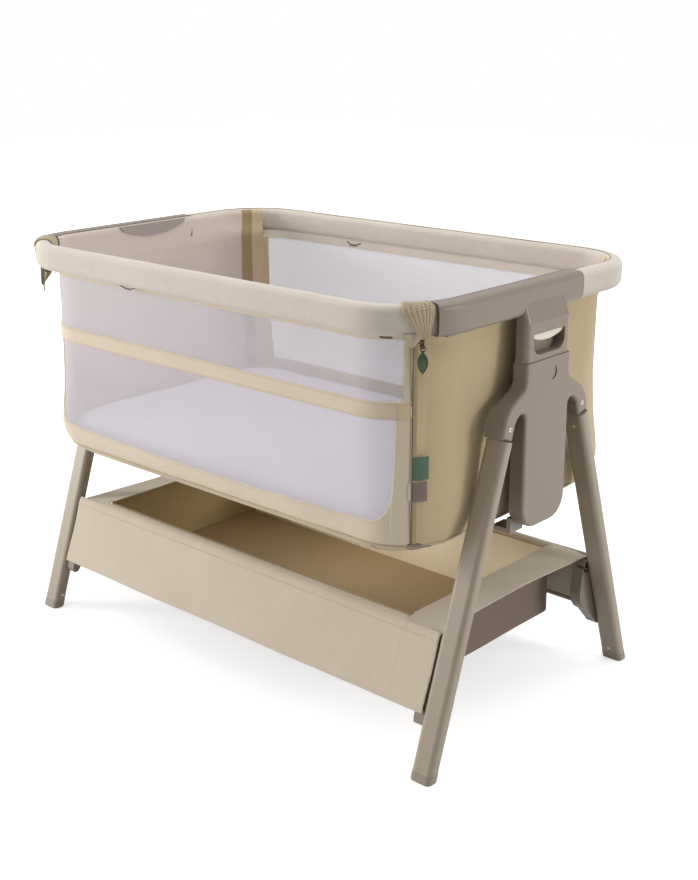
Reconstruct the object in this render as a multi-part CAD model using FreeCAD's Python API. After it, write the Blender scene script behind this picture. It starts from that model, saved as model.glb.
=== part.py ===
import FreeCAD, Part
import math
import os

os.makedirs("parts", exist_ok=True)

# Bedside sleeper crib.  Millimetres, +Z up, origin on the floor under the middle of the crib.
# X runs along the crib (right end +X), the side that can be lowered faces -Y.

# ---- driving dimensions -------------------------------------------------------------------
RIM_L, RIM_W, RIM_R = 920.0, 600.0, 118.0     # outside of the padded rim and its corner radius
RIM_T, RIM_H, RIM_TOP = 28.0, 43.0, 710.0     # rim thickness, height, and height above the floor
RIM_ROUND = 9.0                               # softened edges of the rim section
SPLIT_DEG = 26.0                              # corner angle at which the front rail leaves the end moulding
SEAM_Y = 98.0                                 # seam between end moulding and back rail

# soft tub: height, half length, half width, corner radius; the walls are lofted smoothly,
# the turned in foot from level to level
TUB_WALL = [(656.0, 432.0, 271.0, 124.0), (589.0, 430.5, 270.0, 116.0),
            (522.0, 430.0, 270.0, 107.0), (455.0, 432.0, 271.0, 97.0), (388.0, 434.0, 273.0, 88.0)]
TUB_FOOT = [TUB_WALL[-1], (368.0, 432.0, 271.0, 88.0), (352.0, 427.0, 266.0, 90.0),
            (340.0, 418.0, 257.0, 94.0), (330.0, 403.0, 242.0, 98.0), (324.0, 387.0, 226.0, 100.0),
            (321.0, 370.0, 209.0, 100.0)]
TUB_LOW = TUB_FOOT[-1][0]
TUB_HEM = [(666.8, 438.0, 278.0, 98.0), TUB_WALL[0]]   # cloth drawn out under the rim
CLOTH = 3.0                                   # thickness of the padded cloth walls
SEAM_Z = 349.0                                # seam between the walls and the base
ZIP_AT, ZIP_DIR = (406.0, -237.0), (0.627, -0.779)   # vertical plane of the right zip
MESH_X = 387.0                                # half length of the front windows
BACK_MESH_X = 374.0                           # half length of the back window
LOW_WINDOW = (391.0, 540.0)
TOP_WINDOW = (566.0, 656.0)
BACK_WINDOW = (404.0, 660.0)
MATTRESS_TOP = 396.0

HOUSE_X = (440.0, 474.0)                      # fork arms, inner and outer face
SLEEVE_X = 448.5                              # inner face of the sleeve between the arms
SLEEVE_W, SLEEVE_TOP, SLEEVE_BOTTOM = 112.0, 597.0, 336.0
HEAD_X = (451.5, 472.0)
POST_X, POST_W = (453.0, 465.0), 80.0
POST_BOTTOM = 346.0
SLIDE_GAP = 0.35                              # all round between post and sleeve
POST_WALL = 2.2                               # wall of the hollow post
HANDLE = (40.0, 606.0, 638.0)                 # half width, bottom and top of the finger recess

LEG_X, LEG_HX, LEG_HY, LEG_R = 459.0, 19.0, 12.0, 8.5
LEG_Y0, LEG_LEAN = 266.0, 0.34                # centre line: |Y| = LEG_Y0 - LEG_LEAN * Z
FOOT_H, LEG_WALL = 14.0, 1.8                  # foot cap height, wall of the leg tube

BOX_HX, BOX_HY, BOX_BOTTOM, BOX_TOP = 372.0, 180.0, 88.0, 208.0
TUBE_Y, TUBE_Z, TUBE_R, TUBE_WALL = 193.0, 193.5, 8.5, 1.4
APRON_LOW, APRON_HIGH = (246.0, 93.0), (207.0, 202.0)
FLAP_Z = (212.5, 206.0)

parts = {}


# ---- helpers ------------------------------------------------------------------------------
def vec(x, y, z):
    return FreeCAD.Vector(x, y, z)


def rounded_wire(a, b, r, z):
    """Rounded rectangle with half sizes a and b at height z."""
    k = r * math.sqrt(0.5)
    edges = []
    for sx, sy in ((1, 1), (-1, 1), (-1, -1), (1, -1)):
        cx, cy = sx * (a - r), sy * (b - r)
        side = (vec(cx + sx * r, cy, z), vec(cx, cy + sy * r, z))
        first, last = side if sx * sy > 0 else side[::-1]
        edges.append((first, vec(cx + sx * k, cy + sy * k, z), last))
    out = []
    for i, (first, mid, last) in enumerate(edges):
        out.append(Part.Arc(first, mid, last).toShape())
        out.append(Part.LineSegment(last, edges[(i + 1) % 4][0]).toShape())
    return Part.Wire(out)


def rounded_block(a, b, r, z0, z1):
    return Part.Face(rounded_wire(a, b, r, z0)).extrude(vec(0, 0, z1 - z0))


def box(x0, x1, y0, y1, z0, z1):
    return Part.makeBox(x1 - x0, y1 - y0, z1 - z0, vec(x0, y0, z0))


def prism(points, z0, z1):
    wire = Part.makePolygon([vec(x, y, z0) for x, y in points + points[:1]])
    return Part.Face(wire).extrude(vec(0, 0, z1 - z0))


def outline(start, steps, put):
    """Closed face from lines (u, v) and arcs (u, v through, u, v to), placed by put(u, v)."""
    here, edges = start, []
    for s in list(steps) + [start]:
        to = (s[-2], s[-1])
        if len(s) == 4:
            edges.append(Part.Arc(put(*here), put(s[0], s[1]), put(*to)).toShape())
        elif math.hypot(to[0] - here[0], to[1] - here[1]) > 1e-6:
            edges.append(Part.LineSegment(put(*here), put(*to)).toShape())
        here = to
    return Part.Face(Part.Wire(edges))


def slab_x(start, steps, x0, x1):
    """Profile in the YZ plane, extruded along X."""
    return outline(start, steps, lambda y, z: vec(x0, y, z)).extrude(vec(x1 - x0, 0, 0))


def rod(p, q, r):
    p, q = vec(*p), vec(*q)
    return Part.makeCylinder(r, (q - p).Length, p, q - p)


def soften(shape, r, pick):
    """Fillet the edges chosen by pick(edge); the plain shape if the rounding does not close."""
    edges = [e for e in shape.Edges if pick(e)]
    try:
        done = shape.makeFillet(r, edges)
        if done.isValid() and done.Volume > 0.5 * shape.Volume:
            return done
    except Exception:
        pass
    return shape


def flat_at(axis, value):
    """Edge test: the whole edge lies in the plane axis = value."""
    def test(e):
        b = e.BoundBox
        lo, hi = {"x": (b.XMin, b.XMax), "y": (b.YMin, b.YMax), "z": (b.ZMin, b.ZMax)}[axis]
        return abs(lo - value) < 1e-3 and abs(hi - value) < 1e-3
    return test


def mirror_x(s):
    return s.mirror(vec(0, 0, 0), vec(1, 0, 0))


def mirror_y(s):
    return s.mirror(vec(0, 0, 0), vec(0, 1, 0))


def both_ends(name, shape):
    parts["right_" + name] = shape
    parts["left_" + name] = mirror_x(shape)


def four_corners(name, shape):
    parts["back_right_" + name] = shape
    parts["front_right_" + name] = mirror_y(shape)
    parts["back_left_" + name] = mirror_x(shape)
    parts["front_left_" + name] = mirror_x(mirror_y(shape))


def group(shapes):
    return Part.makeCompound(shapes)


# ---- rim ----------------------------------------------------------------------------------
A, B = RIM_L / 2, RIM_W / 2
CX, CY = A - RIM_R, B - RIM_R                 # centre of a rim corner
RIM_LOW = RIM_TOP - RIM_H


def rim_ring(grow, low, high, rounding, inwards=None):
    """Whole rim ring, its section grown outwards, and inwards by the same unless stated."""
    outer = rounded_block(A + grow, B + grow, RIM_R + grow, low, high)
    t = RIM_T + (grow if inwards is None else inwards)
    inner = rounded_block(A - t, B - t, RIM_R - t, low - 1, high + 1)
    ring = outer.cut(inner)
    return soften(ring, rounding, lambda e: flat_at("z", low)(e) or flat_at("z", high)(e))


def ray(deg, dist):
    """Point on a ray from the centre of the front right rim corner, deg below the X axis."""
    t = math.radians(deg)
    return (CX + dist * math.cos(t), -CY - dist * math.sin(t))


def mirrored(points):
    return [(-x, y) for x, y in reversed(points)]


ring = rim_ring(0.0, RIM_LOW, RIM_TOP, RIM_ROUND)
half = [(CX, -CY), ray(SPLIT_DEG + 0.2, 400), (700, -700)]
front_zone = prism(half + mirrored(half), RIM_LOW - 20, RIM_TOP + 20)
front_rail = ring.common(front_zone)

# latch buttons sit in shallow pockets under the front rail, outside the windows
latch_mid = ray(62, RIM_R - 11)
latch = rounded_block(9, 5, 3, -2.2, 4.0)
latch.rotate(vec(0, 0, 0), vec(0, 0, 1), -62 + 90)
latch.translate(vec(latch_mid[0], latch_mid[1], RIM_LOW))
pocket = rounded_block(9.4, 5.4, 3.2, -3.0, 8.6)
pocket.rotate(vec(0, 0, 0), vec(0, 0, 1), -62 + 90)
pocket.translate(vec(latch_mid[0], latch_mid[1], RIM_LOW))
front_rail = front_rail.cut(pocket).cut(mirror_x(pocket))
parts["front_rail"] = front_rail
both_ends("latch", latch)

back_zone = box(-600, 600, SEAM_Y + 0.2, 600, RIM_LOW - 20, RIM_TOP + 20)
parts["back_rail"] = ring.common(back_zone)

# end moulding: a little larger than the cloth rail, seam with a rounded lower corner
big = rim_ring(3.0, RIM_LOW - 1.5, RIM_TOP + 1.5, RIM_ROUND)
seam_steps = [(-300, 760), (SEAM_Y, 760), (SEAM_Y, RIM_LOW + 9),
              (SEAM_Y - 3.0, RIM_LOW + 1.5, SEAM_Y - 10, RIM_LOW - 1.5), (SEAM_Y - 10, 600)]
seam_corner = slab_x((-300.0, 600.0), seam_steps, 300, 600)
end_zone = prism([(CX, -CY), ray(SPLIT_DEG - 0.2, 400), (800, 400), (CX, 400)], 600, 760)
moulding = big.common(end_zone).common(seam_corner)

# head: flares out of the moulding and carries the handle
hx0, hx1 = HEAD_X
head = outline((hx0, SLEEVE_TOP + 0.4), [(hx0, 690.0), (hx1 - 11, 690.0), (hx1, 655.0),
               (hx1, SLEEVE_TOP + 0.4)], lambda x, z: vec(x, -SLEEVE_W / 2, z)).extrude(vec(0, SLEEVE_W, 0))
head = soften(head, 9.0, lambda e: e.BoundBox.ZLength > 20 and e.BoundBox.XMax > hx1 - 12
              and e.BoundBox.YLength < 1e-3)
hw, hz0, hz1 = HANDLE
recess = slab_x((-hw, hz1), [(hw, hz1), (hw, hz0 + 18), (hw - 5.3, hz0 + 5.3, hw - 18, hz0),
                (-hw + 18, hz0), (-hw + 5.3, hz0 + 5.3, -hw, hz0 + 18)], hx1 - 17, hx1 + 5)
bar_room = box(hx1 - 15, hx1 - 3, -hw, hw, hz1 - 16, hz1 + 9)
post_hole = box(POST_X[0] - 0.2, POST_X[1] + 0.2, -POST_W / 2 - 0.2, POST_W / 2 + 0.2, 590, 604)
head = head.cut(recess).cut(bar_room).cut(post_hole)
catch = box(A - 19, A - 9, -8, 8, 0, 4)       # small catch nose under the moulding, beside the gather
catch.translate(vec(-2, -205, RIM_LOW - 4.5))
end_rail = moulding.fuse(head).fuse(catch).removeSplitter()
both_ends("end_rail", end_rail)

# release bar in the top of the finger recess, bowed lower edge
bar_steps = [(hw - 0.6, hz1 + 1.2), (hw - 0.6, hz1 - 5), (0, hz1 - 12.5, -hw + 0.6, hz1 - 5)]
bar = slab_x((-hw + 0.6, hz1 + 1.2), bar_steps, hx1 - 13.5, hx1 - 4)
both_ends("release", bar)

# hollow post fixed in the head, running down inside the sleeve
post = box(POST_X[0], POST_X[1], -POST_W / 2, POST_W / 2, POST_BOTTOM, 603.8)
post = soften(post, 5.0, lambda e: e.BoundBox.ZLength > 100)
post_bore = box(POST_X[0] + POST_WALL, POST_X[1] - POST_WALL, -POST_W / 2 + POST_WALL,
                POST_W / 2 - POST_WALL, POST_BOTTOM - 5, 610)
post = post.cut(soften(post_bore, 5.0 - POST_WALL, lambda e: e.BoundBox.ZLength > 100))
both_ends("post", post)

# lens shaped grip plate on the inner face of each end rail
lens = slab_x((-80.0, 708.5), [(80.0, 708.5), (72.0, 700.0), (0, 686.0, -72.0, 700.0)],
              A - RIM_T - 5.4, A - RIM_T - 3.2)
both_ends("inner_plate", lens)

# elastic gather wrapped over each end of the front rail, with standing pleats
wrap = rim_ring(2.2, RIM_LOW - 2.2, RIM_TOP + 2.2, RIM_ROUND + 1.5, 1.6)
pleat = rim_ring(4.2, RIM_LOW - 4.0, RIM_TOP + 4.0, RIM_ROUND + 2.5, 2.2)
core = rim_ring(0.4, RIM_LOW - 0.4, RIM_TOP + 0.4, RIM_ROUND)


def corner_fan(deg0, deg1):
    return prism([(CX, -CY), ray(deg0, 200), ray(deg1, 200)], RIM_LOW - 20, RIM_TOP + 20)


gather = wrap.common(corner_fan(28, 52))
for k in range(5):
    gather = gather.fuse(pleat.common(corner_fan(29.5 + 4.6 * k, 31.9 + 4.6 * k)))
gather = gather.cut(core)
both_ends("gather", gather)


# ---- soft tub -----------------------------------------------------------------------------
def tub_loft(levels, inset, ruled):
    wires = [rounded_wire(a - inset, b - inset, r - inset, z) for z, a, b, r in levels]
    return Part.makeLoft(wires, True, ruled)


def tub_solid(inset):
    """The tub as a full block, its walls moved in by the given amount."""
    body = tub_loft(TUB_WALL, inset, False)
    return body.fuse(tub_loft(TUB_FOOT, inset, True)).fuse(tub_loft(TUB_HEM, inset, True))


skin = tub_solid(0.0).cut(tub_solid(CLOTH).common(box(-600, 600, -400, 400, TUB_LOW + CLOTH, 700)))
walls = skin.common(box(-600, 600, -400, 400, SEAM_Z, 700))

# the cloth stays inside the path of the gathered corners when the front rail is lowered
path = rounded_block(A + 8, B + 8, RIM_R + 8, 655, 670).cut(
    rounded_block(A - RIM_T - 10, B - RIM_T - 10, RIM_R - RIM_T - 10, 650, 675)).common(corner_fan(24, 54))
walls = walls.cut(path).cut(mirror_x(path))
gather_path = rounded_block(A + 8, B + 8, RIM_R + 8, 500, 675).cut(
    rounded_block(A - RIM_T - 5, B - RIM_T - 5, RIM_R - RIM_T - 5, 490, 680)).common(
    prism([(CX, -CY), ray(24, 200), ray(54, 200)], 490, 680))
under_moulding = box(390, 470, -300, SEAM_Y + 0.6, RIM_LOW - 1.9, 700)
mesh_skin = tub_loft(TUB_WALL, 1.0, False).cut(tub_loft(TUB_WALL, 2.2, False))


def zip_point(along, across=0.0):
    ux, uy = ZIP_DIR
    return (ZIP_AT[0] + along * ux - across * uy, ZIP_AT[1] + along * uy + across * ux)


# plan zones: in front of the zips, the two ends, the back
front_half = [zip_point(-220, -0.4), zip_point(90, -0.4), (430, -420)]
front_plan = prism(front_half + mirrored(front_half), 300, 700)
end_plan = prism([zip_point(-220, 0.4), zip_point(90, 0.4), (600, -300), (600, 300),
                  (zip_point(90)[0], -zip_point(90, 0.4)[1]),
                  (zip_point(-220)[0], -zip_point(-220, 0.4)[1])], 300, 700)
back_half = [(x, -y) for x, y in (zip_point(-220, -0.4), zip_point(90, -0.4), (430, -420))]
back_plan = prism(back_half + mirrored(back_half), 300, 700)


def window(hx, z_range, y0, y1):
    return box(-hx, hx, y0, y1, z_range[0], z_range[1])


top_window = window(MESH_X, TOP_WINDOW, -400, 0)
low_window = window(MESH_X, LOW_WINDOW, -400, 0)
back_window = window(BACK_MESH_X, BACK_WINDOW, 0, 400)
parts["front_panel"] = walls.common(front_plan).cut(top_window).cut(low_window)
parts["upper_front_mesh"] = mesh_skin.common(front_plan).common(top_window)
parts["lower_front_mesh"] = mesh_skin.common(front_plan).common(low_window)
parts["back_panel"] = walls.common(back_plan).cut(back_window)
parts["back_mesh"] = mesh_skin.common(back_plan).common(back_window)
both_ends("end_panel", walls.common(end_plan).cut(under_moulding))

# zip tape on the outside of the tub
tape_plan = prism([zip_point(-220, 0.6), zip_point(90, 0.6), zip_point(90, 8.0), zip_point(-220, 8.0)],
                  352, 661)
tape = tub_solid(-1.4).cut(tub_solid(-0.1)).common(tape_plan).cut(gather_path)
both_ends("zip_tape", tape)

# base: cloth bowl below the seam, board, mattress
base_bowl = skin.common(box(-600, 600, -400, 400, 300, SEAM_Z - 0.2))
parts["base_cover"] = base_bowl
parts["base_board"] = rounded_block(364, 203, 94, TUB_LOW + CLOTH + 0.2, 330.4)
mattress_levels = [(331.0, 388, 227, 94), (337.0, 401, 240, 92), (343.0, 412, 251, 90), (356.0, 422, 261, 86),
                   (372.0, 427, 266, 84), (382.0, 427, 266, 84), (389.0, 421, 260, 82), (393.5, 406, 245, 80),
                   (MATTRESS_TOP, 350, 190, 70)]
parts["mattress"] = tub_loft(mattress_levels, 0.0, True)

# two plain labels on the end side of the right zip, webbing end sewn on under the corner of the base
labels = []
for z0, z1 in ((452.0, 487.0), (421.0, 449.5)):
    plan = prism([zip_point(-220, 8.4), zip_point(90, 8.4), zip_point(90, 30.0), zip_point(-220, 30.0)], z0, z1)
    labels.append(tub_solid(-2.4).cut(tub_solid(-0.3)).common(plan))
parts["side_labels"] = group(labels)
parts["base_loop"] = tub_solid(-2.4).cut(tub_solid(-0.4)).common(box(350, 398, -300, -150, 332.5, 346.5))


def hoop(x0, x1, y0, y1, z, drop, r):
    """Small round loop along X: its ends at y0 under a rail, its middle lower and at y1."""
    mid = (x0 + x1) / 2
    path = Part.Arc(vec(x0, y0, z), vec(mid, y1, z - drop), vec(x1, y0, z)).toShape()
    tangent = path.tangentAt(path.FirstParameter)
    ring_wire = Part.Wire([Part.makeCircle(r, vec(x0, y0, z), tangent)])
    return Part.Wire([path]).makePipeShell([ring_wire], True, False)


front_y = -(B - RIM_T / 2)
parts["back_loop"] = hoop(-181, -143, 272.2, 268.7, 665.6, 5.3, 1.4)
parts["front_loop"] = hoop(-172, -128, front_y, front_y, RIM_LOW, 5.5, 1.6).common(
    box(-200, -100, -300, -270, 640, RIM_LOW - 0.3))

# zip sliders and their leaf shaped pulls, each hung by a barrel on the swing axis and a ring
SLIDER = (428.5, -243.5, 657.0)
slider = rounded_block(5.5, 3.5, 1.5, -7.0, 4.5)
slider.rotate(vec(0, 0, 0), vec(0, 0, 1), -51)
slider.translate(vec(*SLIDER))
both_ends("zip_slider", slider)

PULL_TOP = (434.5, -249.0, 654.5)
leaf = outline((0.0, -7.5), [(8.0, -23.5, 0.0, -39.0), (-8.0, -23.5, 0.0, -7.5)],
               lambda u, v: vec(u, -1.0, v)).extrude(vec(0, 2.0, 0))
link = Part.makeTorus(4.2, 0.9, vec(0, 0, -4.2), vec(0, 1, 0))
pull = leaf.fuse(link).fuse(rod((-2.4, 0, 0), (2.4, 0, 0), 1.2))
pull.rotate(vec(0, 0, 0), vec(0, 0, 1), 39)
pull.translate(vec(*PULL_TOP))
both_ends("zip_pull", pull)


# ---- stand --------------------------------------------------------------------------------
def leg_y(z, offset=0.0):
    return LEG_Y0 - LEG_LEAN * z + offset


def leg_bar(hx, hy, r, z0, z1):
    """Leaning bar at the back right corner with a level section."""
    wire = rounded_wire(hx, hy, r, 0.0)
    wire.translate(vec(LEG_X, leg_y(z0), z0))
    return Part.Face(wire).extrude(vec(0, -LEG_LEAN * (z1 - z0), z1 - z0))


# housing profile in the YZ plane, one half; the fork arm ends square to the leg
hs = SLEEVE_W / 2
joint = [(110.5, 494.2), (88.2, 486.6)]       # lower end of the fork arm, outer and inner corner
side = [(hs, 574.0), (59.5, 560.5, 70.0, 551.5), (88.0, 540.0), (105.5, 521.0) + joint[0], joint[1],
        (81.5, 506.0), (75.0, 518.5, 66.0, 523.0), (59.0, 521.0, hs, 514.0), (hs, SLEEVE_BOTTOM + 36),
        (hs - 10.5, SLEEVE_BOTTOM + 10.5, hs - 36, SLEEVE_BOTTOM)]
steps = [(hs, SLEEVE_TOP)] + side
back = []
points = [(0.0, SLEEVE_TOP)] + [(s[-2], s[-1]) for s in steps]
for i in range(len(steps) - 1, -1, -1):
    s, to = steps[i], points[i]
    back.append((-to[0], to[1]) if len(s) == 2 else (-s[0], s[1], -to[0], to[1]))
first_left = [(-points[-1][0], points[-1][1])]
housing = slab_x((0.0, SLEEVE_TOP), steps + first_left + back, HOUSE_X[0], HOUSE_X[1])
housing = soften(housing, 5.0, lambda e: flat_at("x", HOUSE_X[1])(e) and e.BoundBox.ZMax < SLEEVE_TOP - 0.5)
g = SLIDE_GAP
cavity = box(POST_X[0] - g, POST_X[1] + g, -POST_W / 2 - g, POST_W / 2 + g, SLEEVE_BOTTOM + 6, SLEEVE_TOP + 5)
shoulder = outline((430.0, 620.0), [(SLEEVE_X, 620.0), (SLEEVE_X, 566.0), (HOUSE_X[0], 512.0), (430.0, 512.0)],
                   lambda x, z: vec(x, -130.0, z)).extrude(vec(0, 260.0, 0))
housing = housing.cut(shoulder).cut(box(430, SLEEVE_X, -60, 60, 330, 512)).cut(cavity)

# small leaf shaped sight slot near the top, and slotted lips below the tub
slot = slab_x((14.0, 583.5), [(20.5, 575.0, 5.0, 563.5), (15.5, 573.0, 14.0, 583.5)],
              HOUSE_X[1] - 2.0, HOUSE_X[1] + 2)
housing = housing.cut(slot)
lip = box(417.0, SLEEVE_X + 3, 22.0, 54.0, 327.5, 334.0)
riser = box(SLEEVE_X - 5, SLEEVE_X + 3, 22.0, 54.0, 327.5, 352.0)
lip = lip.fuse(riser)
for k in range(4):
    lip = lip.cut(box(424.0, 430.0, 25.0 + 7.4 * k, 29.0 + 7.4 * k, 320, 340))
sleeve_space = box(POST_X[0] - g, POST_X[1] + g, -60, 60, SLEEVE_BOTTOM + 6, 400)
lip = lip.cut(sleeve_space)
housing = housing.fuse(lip).fuse(mirror_y(lip)).removeSplitter()
both_ends("housing", housing)

# leg tubes, cut at the top square to their own length just under the fork arms
leg = leg_bar(LEG_HX, LEG_HY, LEG_R, FOOT_H, 540.0)
bore = leg_bar(LEG_HX - LEG_WALL, LEG_HY - LEG_WALL, LEG_R - LEG_WALL, FOOT_H - 5, 550.0)
(ty0, tz0), (ty1, tz1) = joint
above = slab_x((60.0, tz1 - 0.4 - (ty1 - 60.0) * 0.341),
               [(140.0, tz0 - 0.4 + (140.0 - ty0) * 0.341), (140.0, 600.0), (60.0, 600.0)], 420, 500)
four_corners("leg", leg.cut(bore).cut(above))
foot = leg_bar(LEG_HX + 0.4, LEG_HY + 0.4, LEG_R + 0.4, 0.0, FOOT_H)
four_corners("foot", soften(foot, 1.8, flat_at("z", 0.0)))


def screw_x(y, z, x, r=4.0, out=1.2):
    """Domed screw head on a face that looks along +X."""
    head_disc = Part.makeCylinder(r, out, vec(x, y, z), vec(1, 0, 0))
    socket = Part.makeCylinder(r * 0.45, 1.0, vec(x + out - 0.8, y, z), vec(1, 0, 0))
    return soften(head_disc, out * 0.7, flat_at("x", x + out)).cut(socket)


def all_corners(shape):
    m = mirror_y(shape)
    return [shape, m, mirror_x(shape), mirror_x(m)]


lean = math.atan(LEG_LEAN)


def screw_lean(z, r=3.2, out=1.0):
    """Screw head on the inner leaning face of the back right leg."""
    n = vec(0, -math.cos(lean), -math.sin(lean))
    at = vec(LEG_X, leg_y(z, -LEG_HY), z) + n * 0.02
    disc = Part.makeCylinder(r, out, at, n)
    return disc.cut(Part.makeCylinder(r * 0.45, 1.0, at + n * (out - 0.7), n))


parts["fork_screws"] = group(all_corners(screw_x(94.5, 507.5, HOUSE_X[1])) + all_corners(screw_lean(466.0)))
inner_screw = screw_x(-leg_y(24.0), 24.0, -(LEG_X - LEG_HX), 2.8, 0.8)
parts["foot_screws"] = group(all_corners(screw_lean(24.0, 2.8, 0.8)) + all_corners(inner_screw))

# shelf brackets on the inner side of each leg, hollowed for the shelf tube
tube_hole = rod((400, TUBE_Y, TUBE_Z), (460, TUBE_Y, TUBE_Z), TUBE_R + 5.2)
bracket_steps = [(174.0, 150.0), (180.0, 123.0, 199.0, 107.0), (228.0, 76.0), (235.0, 70.5, 243.0, 74.0),
                 (242.5, 82.0), (239.0, 92.0), (204.5, 186.0)]
bracket = slab_x((178.5, 190.0), bracket_steps, 420.0, LEG_X - LEG_HX - 0.1).cut(tube_hole)
four_corners("bracket", bracket)

tube = rod((-439.5, TUBE_Y, TUBE_Z), (439.5, TUBE_Y, TUBE_Z), TUBE_R)
tube = tube.cut(rod((-445, TUBE_Y, TUBE_Z), (445, TUBE_Y, TUBE_Z), TUBE_R - TUBE_WALL))
parts["back_shelf_tube"] = tube
parts["front_shelf_tube"] = mirror_y(tube)

# aprons: cloth hanging from the padded roll over the tube, hem at the foot
(ay0, az0), (ay1, az1) = APRON_LOW, APRON_HIGH
hang = slab_x((ay0, az0), [(ay1, az1), (ay1 - 2.8, az1 - 0.6), (ay0 - 2.9, az0 - 1.0)], -438, 438)
hem = rod((-438, ay0 - 3.5, az0 + 3.0), (438, ay0 - 3.5, az0 + 3.0), 4.0)
roll = slab_x((ay1, az1), [(ay1 - 6.0, 211.5, ay1 - 14.0, 213.0), (ay1 - 22.0, 211.0, BOX_HY + 0.8, 202.0),
              (BOX_HY + 0.8, 193.0), (BOX_HY + 3.6, 193.0), (TUBE_Y - 6.2, 204.8, TUBE_Y + 10.2, 199.0)], -366, 366)
apron = hang.fuse(hem).fuse(roll).removeSplitter()
parts["back_apron"] = apron
parts["front_apron"] = mirror_y(apron)

# end flaps: cloth stretched from the box to the legs, hollow outer edge
flap_side = outline((366.5, FLAP_Z[0] - 2.4), [(366.5, FLAP_Z[0]), (438.0, FLAP_Z[1]), (438.0, FLAP_Z[1] - 2.4)],
                    lambda x, z: vec(x, -300, z)).extrude(vec(0, 600, 0))
flap_plan = outline((366.5, -206.0), [(436.0, -201.0), (424.0, 0.0, 436.0, 201.0), (366.5, 206.0)],
                    lambda x, y: vec(x, y, 150)).extrude(vec(0, 0, 100))
flap = flap_side.common(flap_plan)
for corner in all_corners(leg_bar(LEG_HX + 0.5, LEG_HY + 0.5, LEG_R, 150, 260)):
    flap = flap.cut(corner)
both_ends("end_flap", flap)

# storage box between the tubes, open at the top, and its stiff floor
outer = rounded_block(BOX_HX, BOX_HY, 14, BOX_BOTTOM, BOX_TOP)
inner = rounded_block(BOX_HX - 2.6, BOX_HY - 2.6, 11.4, BOX_BOTTOM + 2.6, BOX_TOP + 5)
parts["storage_box"] = outer.cut(inner)
parts["storage_floor"] = rounded_block(BOX_HX - 4, BOX_HY - 4, 10, BOX_BOTTOM + 2.8, BOX_BOTTOM + 6.0)

for name, shape in parts.items():
    shape.exportStep("parts/" + name + ".step")
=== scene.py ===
import math

import bmesh
import bpy
import numpy as np
from mathutils import Matrix, Vector


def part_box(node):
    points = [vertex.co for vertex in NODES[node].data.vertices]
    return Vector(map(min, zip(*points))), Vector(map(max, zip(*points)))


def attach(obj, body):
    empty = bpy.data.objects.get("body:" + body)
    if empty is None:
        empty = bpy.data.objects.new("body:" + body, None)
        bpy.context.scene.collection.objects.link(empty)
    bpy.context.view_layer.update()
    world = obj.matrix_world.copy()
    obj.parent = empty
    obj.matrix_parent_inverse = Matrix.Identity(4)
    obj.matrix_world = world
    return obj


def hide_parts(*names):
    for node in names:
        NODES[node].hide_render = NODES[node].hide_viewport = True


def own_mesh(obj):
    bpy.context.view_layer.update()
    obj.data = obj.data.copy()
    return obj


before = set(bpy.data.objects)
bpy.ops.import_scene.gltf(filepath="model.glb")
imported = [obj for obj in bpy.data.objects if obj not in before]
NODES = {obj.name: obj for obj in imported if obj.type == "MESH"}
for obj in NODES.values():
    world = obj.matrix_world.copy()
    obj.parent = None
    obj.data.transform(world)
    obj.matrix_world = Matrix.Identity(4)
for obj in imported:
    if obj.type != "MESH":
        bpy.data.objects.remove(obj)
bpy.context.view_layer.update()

bl_info = {
    "name": "Bedside Sleeper Crib",
    "version": (1, 0, 0),
    "blender": (4, 5, 0),
    "location": "View3D > Sidebar > Crib",
    "description": "Dresses the crib's frame in cloth, mesh, moulded plastic and painted tube",
    "category": "Add Mesh",
}

# Lengths are millimetres in the frame's own axes and become metres when a mesh is made.
# X runs along the crib, the side that can be lowered faces -Y, Z is up from the floor.
MM = 0.001
ENDS = (("right", 1), ("left", -1))


def box_mm(node):
    """Lowest and highest corner of a frame node, in millimetres."""
    low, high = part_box(node)
    return low / MM, high / MM


# ---- rim, from the frame ------------------------------------------------------------------
RAIL_LOW_CORNER, RAIL_HIGH_CORNER = box_mm("back_rail")
RIM_A, RIM_B = RAIL_HIGH_CORNER.x, RAIL_HIGH_CORNER.y
RIM_LOW, RIM_TOP = RAIL_LOW_CORNER.z, RAIL_HIGH_CORNER.z
RIM_R, RIM_T = 118.0, 28.0                    # corner radius and thickness of the padded rim
SPLIT_DEG = 26.2                              # corner angle where the front rail ends
SEAM_Y = RAIL_LOW_CORNER.y                    # end of the back rail on each end

# ---- soft tub: height, half length, half width, corner radius ------------------------------
TUB_LEVELS = ((321.0, 370.0, 209.0, 100.0), (324.0, 387.0, 226.0, 100.0), (330.0, 403.0, 242.0, 98.0),
              (340.0, 418.0, 257.0, 94.0), (352.0, 427.0, 266.0, 90.0), (368.0, 432.0, 271.0, 88.0),
              (388.0, 434.0, 273.0, 88.0), (455.0, 431.0, 270.5, 98.0), (522.0, 430.0, 270.0, 104.0),
              (589.0, 431.0, 270.5, 106.0), (656.0, 432.0, 271.0, 110.0), (666.8, 438.0, 278.0, 98.0))
TUB_SEAM, TUB_HEM = 349.0, 666.4
CLOTH = 3.0                                   # thickness of the padded walls
ZIP_AT, ZIP_DIR = (406.0, -237.0), (0.627, -0.779)   # vertical plane of the right zip
TOP_MESH_X, LOW_MESH_X, BACK_MESH_X = 396.0, 387.0, 379.0
BAND_LOW, BAND_HIGH = 540.0, 566.0            # band between the two front windows
LOW_EDGE, LOW_SAG, WINDOW_R = 391.0, 10.0, 30.0   # lower edge of the front window, its sag, its corners
BACK_LOW, BACK_HIGH = 404.0, 659.0            # edges of the back window
DRAW_HEIGHTS = (400, 640)                     # the end walls draw in between these heights

# ---- storage shelf ------------------------------------------------------------------------
BOX_X, BOX_Y, BOX_LOW, BOX_TOP = 371.5, 181.9, 88.5, 209.0
APRON_X = 437.0


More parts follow.
